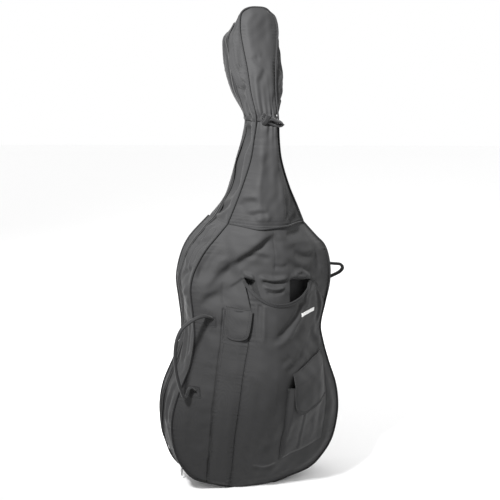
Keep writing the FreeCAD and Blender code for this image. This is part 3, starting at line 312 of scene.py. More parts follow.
def stitches(name, path, normal, pitch=0.0065, length=0.0045, radius=0.00055, lift=0.0003):
    """A row of sewn stitches: short thread humps along a path that lies on the cloth."""
    path = even(path, pitch)
    t, side, up = frames_along(path, normal if np.ndim(normal) == 1 else resample(normal, len(path)))
    arcs = np.linspace(-0.5, 0.5, 5)
    ring = circle(radius, 5)
    points, faces = [], []
    for centre, along, across, out in zip(path, t, side, up):
        base = len(points)
        for a in arcs:
            rise = lift + radius * (1.2 - 6.5 * a * a)
            spot = centre + along * (a * length) + out * rise
            points += [spot + across * x + out * y for x, y in ring]
        faces += (grid_faces(5, 5, closed=True) + base).tolist()
        faces += [[base + k for k in range(4, -1, -1)], [base + 20 + k for k in range(5)]]
    return mesh_object(name, points, faces)


def gap_to(x, z, line):
    """Distance from points (x, z) to a polyline."""
    best = np.full(np.shape(x), 1e9)
    for (x0, z0), (x1, z1) in zip(line, line[1:]):
        dx, dz = x1 - x0, z1 - z0
        t = np.clip(((x - x0) * dx + (z - z0) * dz) / max(dx * dx + dz * dz, 1e-12), 0, 1)
        best = np.minimum(best, np.hypot(x - x0 - t * dx, z - z0 - t * dz))
    return best


def spread(points, count):
    """count evenly spaced points on the smooth curve through the given points."""
    fine = catmull(points, 0.002)
    s = lengths(fine)
    marks = np.linspace(0, s[-1], count)
    return np.stack([np.interp(marks, s, fine[:, k]) for k in range(fine.shape[1])], axis=1)


def coons(bottom, top, left, right, cell):
    """Grid of (x, z) between four curves that share corners: bottom and top run right, left and right run up."""
    cols = max(4, int(max(lengths(catmull(bottom, 0.01))[-1], lengths(catmull(top, 0.01))[-1]) / cell))
    rows = max(4, int(max(lengths(catmull(left, 0.01))[-1], lengths(catmull(right, 0.01))[-1]) / cell))
    b, t = spread(bottom, cols)[None], spread(top, cols)[None]
    l, r = spread(left, rows)[:, None], spread(right, rows)[:, None]
    u, v = np.linspace(0, 1, cols)[None, :, None], np.linspace(0, 1, rows)[:, None, None]
    corners = (1 - u) * (1 - v) * b[0, 0] + u * (1 - v) * b[0, -1] + (1 - u) * v * t[0, 0] + u * v * t[0, -1]
    return (1 - v) * b + v * t + (1 - u) * l + u * r - corners


def shifted(line, by):
    """A polyline in the panel moved sideways, to its left where by is above 0."""
    t = np.gradient(np.asarray(line, float), axis=0)
    t /= np.maximum(np.linalg.norm(t, axis=1, keepdims=True), 1e-9)
    return line + by * np.stack([-t[:, 1], t[:, 0]], axis=1)


def resample(values, count):
    values = np.asarray(values, float)
    marks = np.linspace(0, len(values) - 1, count)
    return np.stack([np.interp(marks, np.arange(len(values)), values[:, k]) for k in range(values.shape[1])], axis=1)


# ================================================================ folds, drawn as strokes on a panel
def stroke(points, width, height, kind="ridge", start=0.25, end=0.25):
    return {"points": np.array(points, float), "width": width, "height": height, "kind": kind, "start": start, "end": end}


def strokes_at(a, b, strokes):
    """Height of all strokes at panel coordinates a, b."""
    total = np.zeros_like(a, dtype=float)
    for s in strokes:
        path = catmull(s["points"], 0.02) if len(s["points"]) > 2 else even(s["points"], 0.02)
        run = lengths(path)
        best = np.full(a.shape, 1e9)
        signed, share = np.zeros_like(best), np.zeros_like(best)
        reach = 4 * s["width"]
        low, high = path.min(0) - reach, path.max(0) + reach
        near = (a > low[0]) & (a < high[0]) & (b > low[1]) & (b < high[1])
        if not near.any():
            continue
        x, y = a[near], b[near]
        d_best, d_sign, d_share = best[near], signed[near], share[near]
        for k in range(len(path) - 1):
            (x0, y0), (x1, y1) = path[k], path[k + 1]
            dx, dy = x1 - x0, y1 - y0
            size2 = dx * dx + dy * dy
            t = np.clip(((x - x0) * dx + (y - y0) * dy) / size2, 0, 1)
            ox, oy = x - x0 - t * dx, y - y0 - t * dy
            d = np.hypot(ox, oy)
            closer = d < d_best
            d_best = np.where(closer, d, d_best)
            d_sign = np.where(closer, np.sign(dx * oy - dy * ox), d_sign)
            d_share = np.where(closer, (run[k] + t * math.sqrt(size2)) / run[-1], d_share)
        q = d_best / s["width"]
        if s["kind"] == "ridge":
            shape = np.exp(-q * q)
        elif s["kind"] == "crease":
            shape = d_sign * q * np.exp(0.5 - q * q * 0.5) * np.exp(-q * 0.3)
        elif s["kind"] == "ledge":
            shape = 0.5 * (1 + np.tanh(d_sign * q * 2.2)) * np.exp(-(q / 2.6) ** 2) * 1.3
        elif s["kind"] == "groove":
            shape = -np.exp(-np.abs(q) * 1.6)
        fade = smooth(d_share / max(s["start"], 1e-3)) * smooth((1 - d_share) / max(s["end"], 1e-3))
        total[near] += s["height"] * shape * fade
    return total


def puckers(along, off, wave=0.016, height=0.0011, depth=0.022, seed=1):
    """Small gathers that a seam pulls into the cloth beside it."""
    rng = np.random.default_rng(seed)
    total = 0
    for k in range(5):
        w = wave * rng.uniform(0.7, 1.9)
        total = total + np.sin(2 * math.pi * along / w + rng.uniform(0, 6.28)) * rng.uniform(0.5, 1.0)
    gate = 0.5 + 0.5 * np.sin(2 * math.pi * along / (wave * 9) + seed)
    return height * total * 0.5 * gate * np.exp(-off / depth)


# ================================================================ the bag's body
CELL = 0.0036
SHELL = 0.006


def front_rows():
    """Heights of the body front's rows, evenly spaced along its edge."""
    return even(body_edge("right", 1)[1:], CELL)[:, 1]


def front_point(x, z, lift):
    """Point that stands lift off the taut front at (x, z)."""
    h = 0.0005
    slope_x = (body_front_y(x + h, z) - body_front_y(x - h, z)) / (2 * h)
    slope_z = (body_front_y(x, z + h) - body_front_y(x, z - h)) / (2 * h)
    n = np.stack([0.2 * slope_x, -np.ones_like(slope_x), 0.2 * slope_z], axis=-1)
    n /= np.linalg.norm(n, axis=-1, keepdims=True)
    p = np.stack([x, body_front_y(x, z), z], axis=-1) + n * np.asarray(lift)[..., None]
    p[..., 2] = np.maximum(p[..., 2], 0.0003)
    return p


# Strokes on the front, as (x, z) in metres.
FRONT_FOLDS = [
    stroke([(0.0, 1.00), (-0.06, 0.955), (-0.13, 0.895), (-0.20, 0.83), (-0.25, 0.76)], 0.060, -0.022, "ledge"),
    stroke([(0.03, 1.05), (-0.02, 1.025), (-0.097, 0.966), (-0.175, 0.897), (-0.245, 0.800)],
           0.024, -0.017, "ledge", 0.10, 0.3),
    stroke([(0.0, 1.03), (-0.075, 0.965), (-0.13, 0.915), (-0.20, 0.84)], 0.013, -0.010, "ridge", 0.2, 0.4),
    stroke([(-0.285, 0.868), (-0.24, 0.862), (-0.16, 0.872), (-0.11, 0.88)], 0.050, -0.020, "ledge", 0.2, 0.2),
    stroke([(-0.255, 0.975), (-0.225, 0.93), (-0.235, 0.885)], 0.02, 0.004, "ridge"),
    stroke([(-0.155, 0.955), (-0.195, 0.93), (-0.215, 0.88)], 0.012, 0.006, "crease"),
    stroke([(-0.06, 1.04), (-0.075, 0.98), (-0.085, 0.93)], 0.03, 0.006, "ridge"),
    stroke([(-0.10, 0.955), (-0.06, 0.968), (0.0, 0.955)], 0.012, 0.005, "crease"),
    stroke([(0.006, 1.062), (0.010, 0.98), (0.012, 0.90)], 0.0035, 0.0022, "groove", 0.02, 0.1),
    stroke([(0.05, 1.03), (0.11, 1.04), (0.155, 1.05)], 0.016, -0.010, "ridge"),
    stroke([(0.05, 1.005), (0.12, 1.01), (0.19, 1.0)], 0.016, 0.007, "ridge"),
    stroke([(0.09, 0.985), (0.15, 0.955), (0.2, 0.965)], 0.014, 0.008, "crease"),
    stroke([(0.05, 0.96), (0.10, 0.925), (0.16, 0.90), (0.20, 0.905)], 0.014, 0.006, "crease"),
    stroke([(0.21, 0.99), (0.225, 0.93), (0.245, 0.86)], 0.012, 0.006, "crease"),
    stroke([(-0.15, 1.055), (-0.11, 1.04), (-0.05, 1.045)], 0.012, 0.004, "ridge"),
    stroke([(-0.106, 0.874), (-0.125, 0.855), (-0.155, 0.832)], 0.010, -0.007, "ledge", 0.05, 0.4),
    stroke([(-0.170, 0.860), (-0.172, 0.83), (-0.170, 0.775)], 0.008, -0.004, "ridge", 0.2, 0.05),
    stroke([(-0.255, 0.755), (-0.225, 0.80), (-0.175, 0.825)], 0.016, 0.006, "crease"),
    stroke([(-0.250, 0.66), (-0.225, 0.62), (-0.215, 0.55)], 0.014, 0.004, "crease"),
    stroke([(-0.300, 0.45), (-0.270, 0.36), (-0.265, 0.25)], 0.018, 0.005, "crease"),
    stroke([(-0.290, 0.20), (-0.255, 0.17), (-0.215, 0.17)], 0.014, 0.004, "crease"),
]
RIDGE_GATHERS = [
    stroke([(-0.055, 0.884), (0.0, 0.872), (0.07, 0.880)], 0.009, 0.009, "ridge", 0.2, 0.2),
    stroke([(-0.045, 0.866), (0.01, 0.856), (0.062, 0.862)], 0.006, -0.009, "ridge", 0.2, 0.2),
    stroke([(-0.040, 0.848), (0.01, 0.838), (0.055, 0.846)], 0.007, 0.009, "ridge", 0.2, 0.2),
    stroke([(-0.030, 0.826), (0.01, 0.820), (0.050, 0.826)], 0.005, -0.006, "ridge", 0.2, 0.2),
    stroke([(0.09, 0.885), (0.13, 0.895), (0.17, 0.872)], 0.008, 0.010, "ridge", 0.2, 0.2),
    stroke([(0.0, 0.925), (0.035, 0.918), (0.07, 0.925)], 0.010, -0.005, "ridge"),
]


def hollow(x, z):
    """Where the front sinks behind the pocket's mouth, on both sides of the full part, under two small lips."""
    top = np.interp(x, [-0.106, -0.058, 0.072, 0.175], [0.880, 0.868, 0.874, 0.858])
    aside = np.maximum(-0.054 - 0.25 * (z - 0.84) - x, x - 0.070)
    around = smooth((x + 0.086 + 0.155 * (z - 0.762)) / 0.010) * smooth((0.184 - x) / 0.010)
    depth = np.where(x < 0, 0.050, 0.032) * smooth((top - z) / 0.010) * smooth((z - 0.735) / 0.03)
    lip = 0.009 * np.exp(-((z - top - 0.010) / 0.009) ** 2)
    return (depth - lip) * smooth(aside / np.where(x < 0, 0.012, 0.022)) * around


def front_height(x, z):
    """How far the cloth of the front stands off its taut form: swelling, folds and hollows."""
    left, right = BODY.read("left", z), BODY.read("right", z)
    off = np.minimum(np.where(x < 0, left, right) - np.abs(x), YOKE_Z - z)
    swell = 0.010 * smooth(off / 0.05) * np.exp(-off / 0.12)
    folds = (0.8 * strokes_at(x, z, FRONT_FOLDS) + strokes_at(x, z, RIDGE_GATHERS)) * smooth(off / 0.03)
    slack = Noise(SEED, 0.16)(x, z) * 0.0022 + Noise(SEED + 1, 0.055)(x, z) * 0.0007
    height = swell + folds + slack * smooth(off / 0.06) + puckers(z, off, seed=3) - hollow(x, z)
    seam = np.interp(z, [row[1] for row in BOW_LEFT], [row[0] for row in BOW_LEFT])
    covered = smooth((0.765 - z) / 0.02) * smooth((x - seam - 0.003) / 0.010)
    ditch = 0.006 * np.exp(-((x - seam + 0.002) / 0.0035) ** 2) * smooth((0.760 - z) / 0.01)
    return height * (1 - covered) - 0.004 * covered - ditch * smooth(off / 0.03)


def body_front():
    """The padded front: taut over the bridge, slack below the shoulders, sunk behind the pocket's mouth."""
    z = front_rows()[:, None]
    u = np.linspace(-1, 1, int(0.70 / CELL) | 1)[None, :]
    x = across(BODY.read("left", z), BODY.read("right", z), u)
    zz = np.broadcast_to(z, x.shape)
    p = front_point(x, zz, front_height(x, zz))
    p[0, :, 2] = np.maximum(p[0, :, 2], 0.0)
    return cloth("body_front", p, SHELL, (0, -1, 0)), p


# ---------------------------------------------------------------- pocket sheets
MOUTH = [(-0.106, 0.876), (-0.095, 0.855), (-0.071, 0.825), (-0.036, 0.800), (0.008, 0.787), (0.060, 0.789),
         (0.111, 0.803), (0.152, 0.826), (0.175, 0.853)]
MOUTH_TO_EDGE = [(0.272, 0.760), (0.252, 0.795), (0.212, 0.842), (0.175, 0.853)]
BOW_LEFT = [(-0.192, 0.020), (-0.202, 0.20), (-0.206, 0.364), (-0.187, 0.541), (-0.177, 0.622), (-0.171, 0.757)]
BOW_RIGHT = [(-0.097, 0.004), (-0.112, 0.15), (-0.124, 0.288), (-0.119, 0.478), (-0.097, 0.637), (-0.088, 0.757)]
MUSIC_LEFT = BOW_RIGHT + [(-0.092, 0.800), (-0.106, 0.876)]
MUSIC_BASE_RIGHT = 0.215


def edge_height(x):
    """Height of the body's outline above its base at x, near the base."""
    left, right = body_edge("left", 1)[1:60], body_edge("right", 1)[1:60]
    return np.where(x < 0, np.interp(-x, left[:, 0], left[:, 1]), np.interp(x, right[:, 0], right[:, 1]))


def base_line(x0, x1):
    """Run along the body's lower edge from x0 to x1."""
    x = np.linspace(x0, x1, 24)
    return np.stack([x, edge_height(x) + 0.001], axis=1)


def right_line():
    """The music pocket's right edge: up the bag's edge, then slantwise to the mouth's right corner."""
    z = np.linspace(float(edge_height(np.array([MUSIC_BASE_RIGHT]))[0]) + 0.001, 0.735, 40)
    x = BODY.read("right", z) - 0.003
    x[0] = MUSIC_BASE_RIGHT
    return np.vstack([np.stack([x, z], axis=1), MOUTH_TO_EDGE])


SHEET_FOLDS = [
    stroke([(-0.050, 0.785), (-0.055, 0.72), (-0.057, 0.63)], 0.008, 0.005, "crease", 0.05, 0.3),
    stroke([(-0.075, 0.785), (-0.078, 0.72), (-0.078, 0.63)], 0.007, 0.003, "crease", 0.05, 0.3),
    stroke([(0.130, 0.783), (0.105, 0.727), (0.032, 0.662), (-0.026, 0.633)], 0.014, 0.012, "crease", 0.1, 0.25),
    stroke([(0.067, 0.579), (0.04, 0.565), (0.013, 0.556)], 0.012, 0.005, "crease"),
    stroke([(0.15, 0.60), (0.10, 0.545), (0.03, 0.52)], 0.02, 0.006, "crease"),
    stroke([(0.165, 0.835), (0.145, 0.79), (0.14, 0.73)], 0.014, 0.006, "crease"),
    stroke([(0.215, 0.83), (0.240, 0.74), (0.232, 0.66)], 0.012, 0.008, "crease"),
    stroke([(-0.098, 0.86), (-0.085, 0.82), (-0.06, 0.80)], 0.008, 0.004, "ridge"),
    stroke([(-0.02, 0.50), (-0.03, 0.35), (-0.03, 0.18)], 0.03, 0.004, "ridge"),
    stroke([(0.02, 0.42), (0.01, 0.30), (0.015, 0.15)], 0.02, 0.005, "crease"),
    stroke([(0.18, 0.66), (0.225, 0.61), (0.26, 0.57)], 0.016, 0.008, "crease"),
    stroke([(-0.06, 0.30), (-0.05, 0.16), (-0.03, 0.06)], 0.02, 0.004, "crease"),
    stroke([(-0.04, 0.125), (0.02, 0.105), (0.075, 0.12)], 0.012, 0.006, "crease"),
    stroke([(-0.085, 0.52), (-0.05, 0.44), (-0.045, 0.36)], 0.018, 0.004, "crease"),
]
MUSIC_SEAM = np.vstack([catmull(MUSIC_LEFT, 0.02)[::-1], base_line(BOW_RIGHT[0][0], MUSIC_BASE_RIGHT), right_line()])


def music_lift(x, z):
    """How far the music pocket's sheet stands off the front."""
    sewn, lip = gap_to(x, z, MUSIC_SEAM), gap_to(x, z, MOUTH)
    body = 0.0035 + 0.009 * smooth(sewn / 0.05) + 0.009 * np.exp(-lip / 0.05) * smooth(sewn / 0.06)
    folds = strokes_at(x, z, SHEET_FOLDS) * smooth(sewn / 0.02)
    slack = Noise(SEED + 3, 0.17)(x, z) * 0.0022 + Noise(SEED + 4, 0.05)(x, z) * 0.0007
    return body + folds + slack * smooth(sewn / 0.04) + puckers(z, sewn, seed=5) * smooth(lip / 0.02)


def music_sheet():
    """The wide pocket for printed music, open along its curved mouth."""
    grid = coons(base_line(BOW_RIGHT[0][0], MUSIC_BASE_RIGHT), MOUTH, MUSIC_LEFT, right_line(), CELL)
    x, z = grid[..., 0], grid[..., 1]
    p = front_point(x, z, music_lift(x, z))
    return cloth("music_pocket_sheet", p, 0.0022, (0, -1, 0)), p


BOW_SEAM = np.vstack([catmull(BOW_LEFT, 0.02)[::-1], catmull(BOW_RIGHT, 0.02)])


def bow_lift(x, z):
    """How far the bow pocket's sheet stands off the front."""
    sewn, drop = gap_to(x, z, BOW_SEAM), 0.757 - z
    body = 0.0035 + 0.008 * smooth(sewn / 0.03) + 0.004 * np.exp(-np.maximum(drop, 0) / 0.04) * smooth(sewn / 0.02)
    slack = Noise(SEED + 5, 0.10)(x, z) * 0.0014 * smooth(sewn / 0.03)
    return body + slack + puckers(z, sewn, seed=6, height=0.0014)


def bow_sheet():
    """The long pocket for the bow, between two rows of stitching."""
    low = base_line(BOW_LEFT[0][0], BOW_RIGHT[0][0] - 0.001)
    right = [(x - 0.001, z) for x, z in BOW_RIGHT]
    left = [tuple(low[0])] + BOW_LEFT[1:]
    grid = coons(low, [BOW_LEFT[-1], right[-1]], left, [tuple(low[-1])] + right[1:], CELL)
    x, z = grid[..., 0], grid[..., 1]
    p = front_point(x, z, bow_lift(x, z))
    return cloth("bow_pocket_sheet", p, 0.0022, (0, -1, 0)), p


BOW_FLAP = {
    "top": [(-0.168, 0.772), (-0.126, 0.766), (-0.085, 0.760)],
    "left": [(-0.174, 0.689), (-0.171, 0.73), (-0.168, 0.772)],
    "bottom": [(-0.174, 0.689), (-0.169, 0.661), (-0.150, 0.646), (-0.121, 0.648), (-0.102, 0.663), (-0.094, 0.695)],
    "right": [(-0.094, 0.695), (-0.089, 0.73), (-0.085, 0.760)],
}
ACCESSORY_FLAP = {
    "top": [(0.062, 0.523), (0.160, 0.543), (0.254, 0.562)],
    "left": [(0.070, 0.428), (0.064, 0.47), (0.062, 0.523)],
    "bottom": [(0.070, 0.428), (0.078, 0.392), (0.098, 0.362), (0.135, 0.348), (0.19, 0.362), (0.268, 0.390)],
    "right": [(0.268, 0.390), (0.262, 0.47), (0.254, 0.562)],
}
ACCESSORY = {
    "top": [(0.048, 0.466), (0.16, 0.486), (0.268, 0.505)],
    "left": [(0.076, 0.131), (0.068, 0.185), (0.057, 0.288), (0.050, 0.395), (0.048, 0.466)],
    "bottom": [(0.076, 0.131), (0.129, 0.143), (0.182, 0.154), (0.235, 0.170), (0.280, 0.184)],
    "right": [(0.280, 0.184), (0.284, 0.300), (0.278, 0.395), (0.268, 0.505)],
}
ACCESSORY_SEAM = np.vstack([catmull(ACCESSORY["left"], 0.02)[::-1], catmull(ACCESSORY["bottom"], 0.02),
                            catmull(ACCESSORY["right"], 0.02)])
ACCESSORY_FOLDS = [
    stroke([(0.140, 0.352), (0.147, 0.26), (0.155, 0.165)], 0.007, 0.007, "crease", 0.02, 0.1),
    stroke([(0.10, 0.33), (0.105, 0.26), (0.10, 0.20)], 0.012, 0.004, "crease"),
    stroke([(0.19, 0.33), (0.21, 0.27), (0.22, 0.21)], 0.014, 0.005, "crease"),
    stroke([(0.245, 0.36), (0.25, 0.29), (0.25, 0.22)], 0.012, 0.004, "crease"),
]


def patch(name, outline, lift_of, wall, cell):
    """A piece of cloth within four edge curves in the panel, standing lift_of(x, z) off the taut front."""
    grid = coons(outline["bottom"], outline["top"], outline["left"], outline["right"], cell)
    x, z = grid[..., 0], grid[..., 1]
    p = front_point(x, z, lift_of(x, z))
    return cloth(name, p, wall, (0, -1, 0)), p


def accessory_lift(x, z):
    """How far the bellows pocket's cover stands off the front."""
    sewn = gap_to(x, z, ACCESSORY_SEAM)
    deep = 0.30 + 0.70 * smooth((z - 0.13) / 0.30)
    folds = 0.4 * strokes_at(x, z, ACCESSORY_FOLDS) * smooth(sewn / 0.02)
    shallow = 1 - 0.75 * smooth((x - 0.205) / 0.06)
    return music_lift(x, z) + 0.003 + 0.024 * deep * shallow * smooth(sewn / 0.022) + folds


def accessory_flap_lift(x, z):
    """How far the bellows pocket's flap stands off the front."""
    drop = gap_to(x, z, ACCESSORY_FLAP["top"])
    waves = Noise(SEED + 41, 0.12)(x, z) * 0.0012
    shallow = 1 - 0.75 * smooth((x - 0.205) / 0.06)
    return music_lift(x, z) + 0.009 + 0.025 * shallow * smooth(drop / 0.050) + waves


def bow_flap_lift(x, z):
    """How far the bow pocket's flap stands off the front."""
    drop = gap_to(x, z, BOW_FLAP["top"])
    bulge = 0.004 * smooth(drop / 0.04) + 0.0012 * Noise(SEED + 40, 0.07)(x, z)
    return 0.0175 + bulge


def band_on_front(name, line, width, wall, lift_of, lift):
    """Flat webbing or binding laid along a panel line on a sheet."""
    x, z = line[:, 0], line[:, 1]
    base = lift_of(x, z) + lift
    path = front_point(x, z, base)
    return sweep(name, path, strap_profile(width, wall), front_point(x, z, base + 0.01) - path)


def stitches_on_front(name, line, lift_of, lift=0.0):
    """A row of stitches along a panel line on a sheet."""
    x, z = line[:, 0], line[:, 1]
    path = front_point(x, z, lift_of(x, z) + lift)
    return stitches(name, path, front_point(x, z, lift_of(x, z) + lift + 0.01) - path)


def border(outline, inset):
    """Line inside a flap's free edges: down its left, round its bottom, up its right."""
    line = np.vstack([spread(outline["left"], 30)[::-1], spread(outline["bottom"], 50)[1:-1],
                      spread(outline["right"], 30)])
    line = even(line, 0.004)
    return shifted(line, inset)[1:-1]


# ---------------------------------------------------------------- sides, base and back of the body
GUSSET_FOLDS = [
    # (run along the outline from the left of the yoke, depth from the front), in metres
    stroke([(0.03, 0.15), (0.16, 0.155), (0.30, 0.145)], 0.010, 0.008, "crease", 0.1, 0.4),
    stroke([(0.02, 0.09), (0.12, 0.10), (0.26, 0.085)], 0.012, 0.010, "ridge", 0.1, 0.4),
    stroke([(0.03, 0.045), (0.14, 0.055), (0.27, 0.045)], 0.009, 0.007, "crease", 0.1, 0.4),
    stroke([(0.05, 0.12), (0.15, 0.13), (0.24, 0.12)], 0.009, -0.006, "ridge", 0.1, 0.4),
    stroke([(0.06, 0.03), (0.10, 0.055), (0.13, 0.10)], 0.010, 0.004, "crease"),
    stroke([(0.20, 0.02), (0.23, 0.06), (0.25, 0.11)], 0.010, 0.005, "crease"),
    stroke([(0.31, 0.02), (0.33, 0.06), (0.32, 0.12)], 0.012, 0.005, "crease"),
    stroke([(0.41, 0.03), (0.50, 0.06), (0.60, 0.05)], 0.016, -0.010, "ridge"),
    stroke([(0.42, 0.09), (0.52, 0.10), (0.63, 0.085)], 0.014, 0.008, "crease"),
    stroke([(0.45, 0.14), (0.55, 0.15), (0.66, 0.135)], 0.012, 0.006, "crease"),
    stroke([(0.66, 0.04), (0.75, 0.07), (0.88, 0.06)], 0.016, 0.006, "crease"),
    stroke([(0.70, 0.12), (0.82, 0.13), (0.95, 0.12)], 0.016, 0.005, "crease"),
]


def gusset_surface():
    """Grid round the body's edge from the left of the yoke, under the base, to its right."""
    rings = []
    for left, right in (("left", "right"), ("back_left", "back_right")):
        rings.append(np.vstack([body_edge(left, -1)[:0:-1], body_edge(right, 1)]))
    run = lengths(rings[0])
    marks = np.linspace(0, run[-1], int(run[-1] / CELL))
    front, back = (np.stack([np.interp(marks, run, ring[:, k]) for k in (0, 1)], axis=1) for ring in rings)
    depth = BACK_Y - FRONT_Y
    t = np.linspace(0, 1, int(depth / CELL))
    x = front[:, 0:1] * (1 - t) + back[:, 0:1] * t
    z = np.broadcast_to(front[:, 1:2], x.shape)
    y = np.broadcast_to(FRONT_Y + depth * t, x.shape)
    return np.stack([x, y, z], axis=2), marks, depth * t


def body_sides():
    """Left, right and base in one band, with gathers along its front and back seams."""
    p, run, t = gusset_surface()
    n = normals(p)
    n *= np.sign((n * (p - [0, 0, 0.5])).sum(2, keepdims=True))
    s = np.broadcast_to(run[:, None], p.shape[:2])
    d = np.broadcast_to(t[None, :], p.shape[:2])
    off = np.minimum(d, t[-1] - d)
    total = run[-1]
    mirrored = np.minimum(s, total - s)
    left = s < total / 2
    base = smooth((p[..., 2] - 0.004) / 0.05) * smooth(mirrored / 0.05)
    swell = 0.006 * smooth(off / 0.05)
    folds = strokes_at(mirrored, d, GUSSET_FOLDS) * np.where(left, 1.0, 0.3) * smooth(off / 0.02)
    slack = Noise(SEED + 8, 0.14)(s, d) * 0.0024 + Noise(SEED + 9, 0.05)(s, d) * 0.0008
    height = (swell + folds + slack * smooth(off / 0.03)) * base + puckers(s, off, seed=8, height=0.0014) * base
    p = p + n * height[..., None]
    p[..., 2] = np.maximum(p[..., 2], 0.0002)
    return cloth("body_sides", p, SHELL, (0, 0, -1)), p


def body_back():
    z = front_rows()[:, None]
    u = np.linspace(-1, 1, int(0.66 / CELL) | 1)[None, :]
    left, right = BODY.read("back_left", z), BODY.read("back_right", z)
    x = across(left, right, u)
    zz = np.broadcast_to(z, x.shape)
    off = np.minimum(np.where(x < 0, left, right) - np.abs(x), np.minimum(YOKE_Z - zz, zz + 0.02))
    swell = 0.007 * smooth(off / 0.06)
    slack = Noise(SEED + 12, 0.2)(x, zz) * 0.0022 + Noise(SEED + 13, 0.06)(x, zz) * 0.0006
    y = BACK_Y + (swell + slack * smooth(off / 0.05)) + puckers(zz, off, seed=9)
    p = np.stack([x, y, zz], axis=2)
    return cloth("body_back", p, SHELL, (0, 1, 0)), p


# ---------------------------------------------------------------- neck and hood
def neck_rows():
    """Heights of the rows of the neck, evenly spaced along its left edge up to the crown."""
    z = np.linspace(NECK.z[0], NECK.z[-1], int((NECK.z[-1] - NECK.z[0]) / CELL))
    edge = np.stack([NECK.read("left", z), z], axis=1)
    return even(edge, CELL)[:, 1][:, None]


NECK_FOLDS = [
    stroke([(-0.115, 1.135), (-0.085, 1.165), (-0.045, 1.175)], 0.014, 0.008, "crease"),
    stroke([(-0.085, 1.11), (-0.05, 1.125), (-0.01, 1.12)], 0.012, 0.006, "crease"),
    stroke([(-0.06, 1.09), (-0.03, 1.11), (-0.005, 1.09)], 0.014, 0.006, "ridge"),
    stroke([(0.055, 1.08), (0.058, 1.16), (0.05, 1.26)], 0.010, 0.005, "crease", 0.15, 0.3),
    stroke([(0.075, 1.085), (0.11, 1.10), (0.14, 1.10)], 0.014, -0.010, "ridge", 0.2, 0.3),
    stroke([(-0.055, 1.18), (-0.04, 1.28), (-0.03, 1.38)], 0.016, 0.005, "ridge"),
    stroke([(0.015, 1.20), (0.012, 1.32), (0.008, 1.45)], 0.014, 0.004, "ridge", 0.3, 0.05),
    stroke([(0.035, 1.25), (0.03, 1.36), (0.022, 1.455)], 0.010, 0.004, "crease", 0.3, 0.02),
    stroke([(0.012, 1.485), (0.02, 1.53), (0.024, 1.57)], 0.010, -0.007, "ridge", 0.02, 0.5),
    stroke([(-0.03, 1.485), (-0.034, 1.55), (-0.035, 1.63)], 0.009, 0.005, "crease", 0.02, 0.4),
    stroke([(0.04, 1.485), (0.045, 1.54), (0.045, 1.60)], 0.009, 0.005, "crease", 0.02, 0.5),
    stroke([(-0.045, 1.60), (-0.02, 1.625), (0.0, 1.66)], 0.012, 0.005, "crease"),
    stroke([(-0.05, 1.68), (-0.03, 1.70), (-0.005, 1.69)], 0.012, 0.003, "crease"),
]


def domed(p, z, share):
    """The last rows of the hood bent into a low arch: share is 0 in the middle and 1 at the seams."""
    p[..., 2] += ARCH * smooth((z - 1.845) / 0.043) * (-0.45 - share**3)
    return p


def gather(z):
    """How strongly the tie draws the cloth together at height z."""
    return np.exp(-np.abs(z - TIE_Z) / 0.045)


def neck_front():
    z = neck_rows()
    u = np.linspace(-1, 1, 2 * int(0.075 / CELL) + 15)[None, :]
    left, right = NECK.read("left", z), NECK.read("right", z)
    x = across(left, right, u)
    zz = np.broadcast_to(z, x.shape)
    y = NECK.read("seam", z) - tent(x, left, right, NECK.read("rise", z))
    p = np.stack([x, y, zz], axis=2)
    n = normals(p)
    n *= np.sign(-n[..., 1:2])
    off = np.minimum(np.where(x < 0, left, right) - np.abs(x), np.minimum(zz - YOKE_Z, TOP_Z - zz))
    folds = strokes_at(x, zz, NECK_FOLDS) * smooth(off / 0.015)
    pleat = 0.0035 * gather(zz) * np.sin(2 * math.pi * u * 2.6 + 0.6) * smooth(off / 0.012)
    slack = (Noise(SEED + 20, 0.10)(x, zz * 0.5) * 0.0020 + Noise(SEED + 21, 0.04)(x, zz * 0.6) * 0.0006) * smooth(off / 0.03)
    pinch = -0.007 * np.exp(-((zz - TIE_Z) / 0.02) ** 2)
    height = folds + pleat + slack + 0.004 * smooth(off / 0.03) + pinch + puckers(zz, np.abs(off), seed=11)
    p = domed(p + n * height[..., None], zz, np.abs(u))
    return cloth("neck_front", p, SHELL * 0.8, (0, -1, 0)), p


SIDE_FOLDS = [
    # (height, share of the way from the front seam to the back seam scaled to 0.2 m)
    stroke([(1.86, 0.02), (1.78, 0.06), (1.68, 0.075), (1.56, 0.05)], 0.010, 0.005, "crease", 0.1, 0.3),
    stroke([(1.85, 0.06), (1.76, 0.11), (1.66, 0.13), (1.55, 0.10)], 0.012, 0.007, "crease", 0.1, 0.3),
    stroke([(1.82, 0.12), (1.74, 0.155), (1.66, 0.17)], 0.010, 0.005, "crease", 0.1, 0.3),
    stroke([(1.66, 0.03), (1.63, 0.06), (1.60, 0.03)], 0.010, 0.009, "crease"),
    stroke([(1.60, 0.02), (1.57, 0.07), (1.58, 0.12)], 0.010, -0.009, "ridge"),
    stroke([(1.55, 0.05), (1.51, 0.08), (1.48, 0.08)], 0.010, 0.008, "crease", 0.2, 0.05),
    stroke([(1.45, 0.10), (1.36, 0.09), (1.24, 0.09), (1.14, 0.08)], 0.026, -0.014, "ridge", 0.08, 0.25),
    stroke([(1.45, 0.13), (1.34, 0.14), (1.22, 0.15)], 0.012, 0.006, "crease", 0.05, 0.3),
    stroke([(1.16, 0.04), (1.12, 0.10), (1.10, 0.16)], 0.012, -0.009, "ridge"),
    stroke([(1.13, 0.02), (1.10, 0.08), (1.08, 0.15)], 0.010, 0.006, "crease"),
]


def neck_back_y(z):
    return np.maximum(NECK.read("back", z), NECK.read("seam", z) + 0.010)


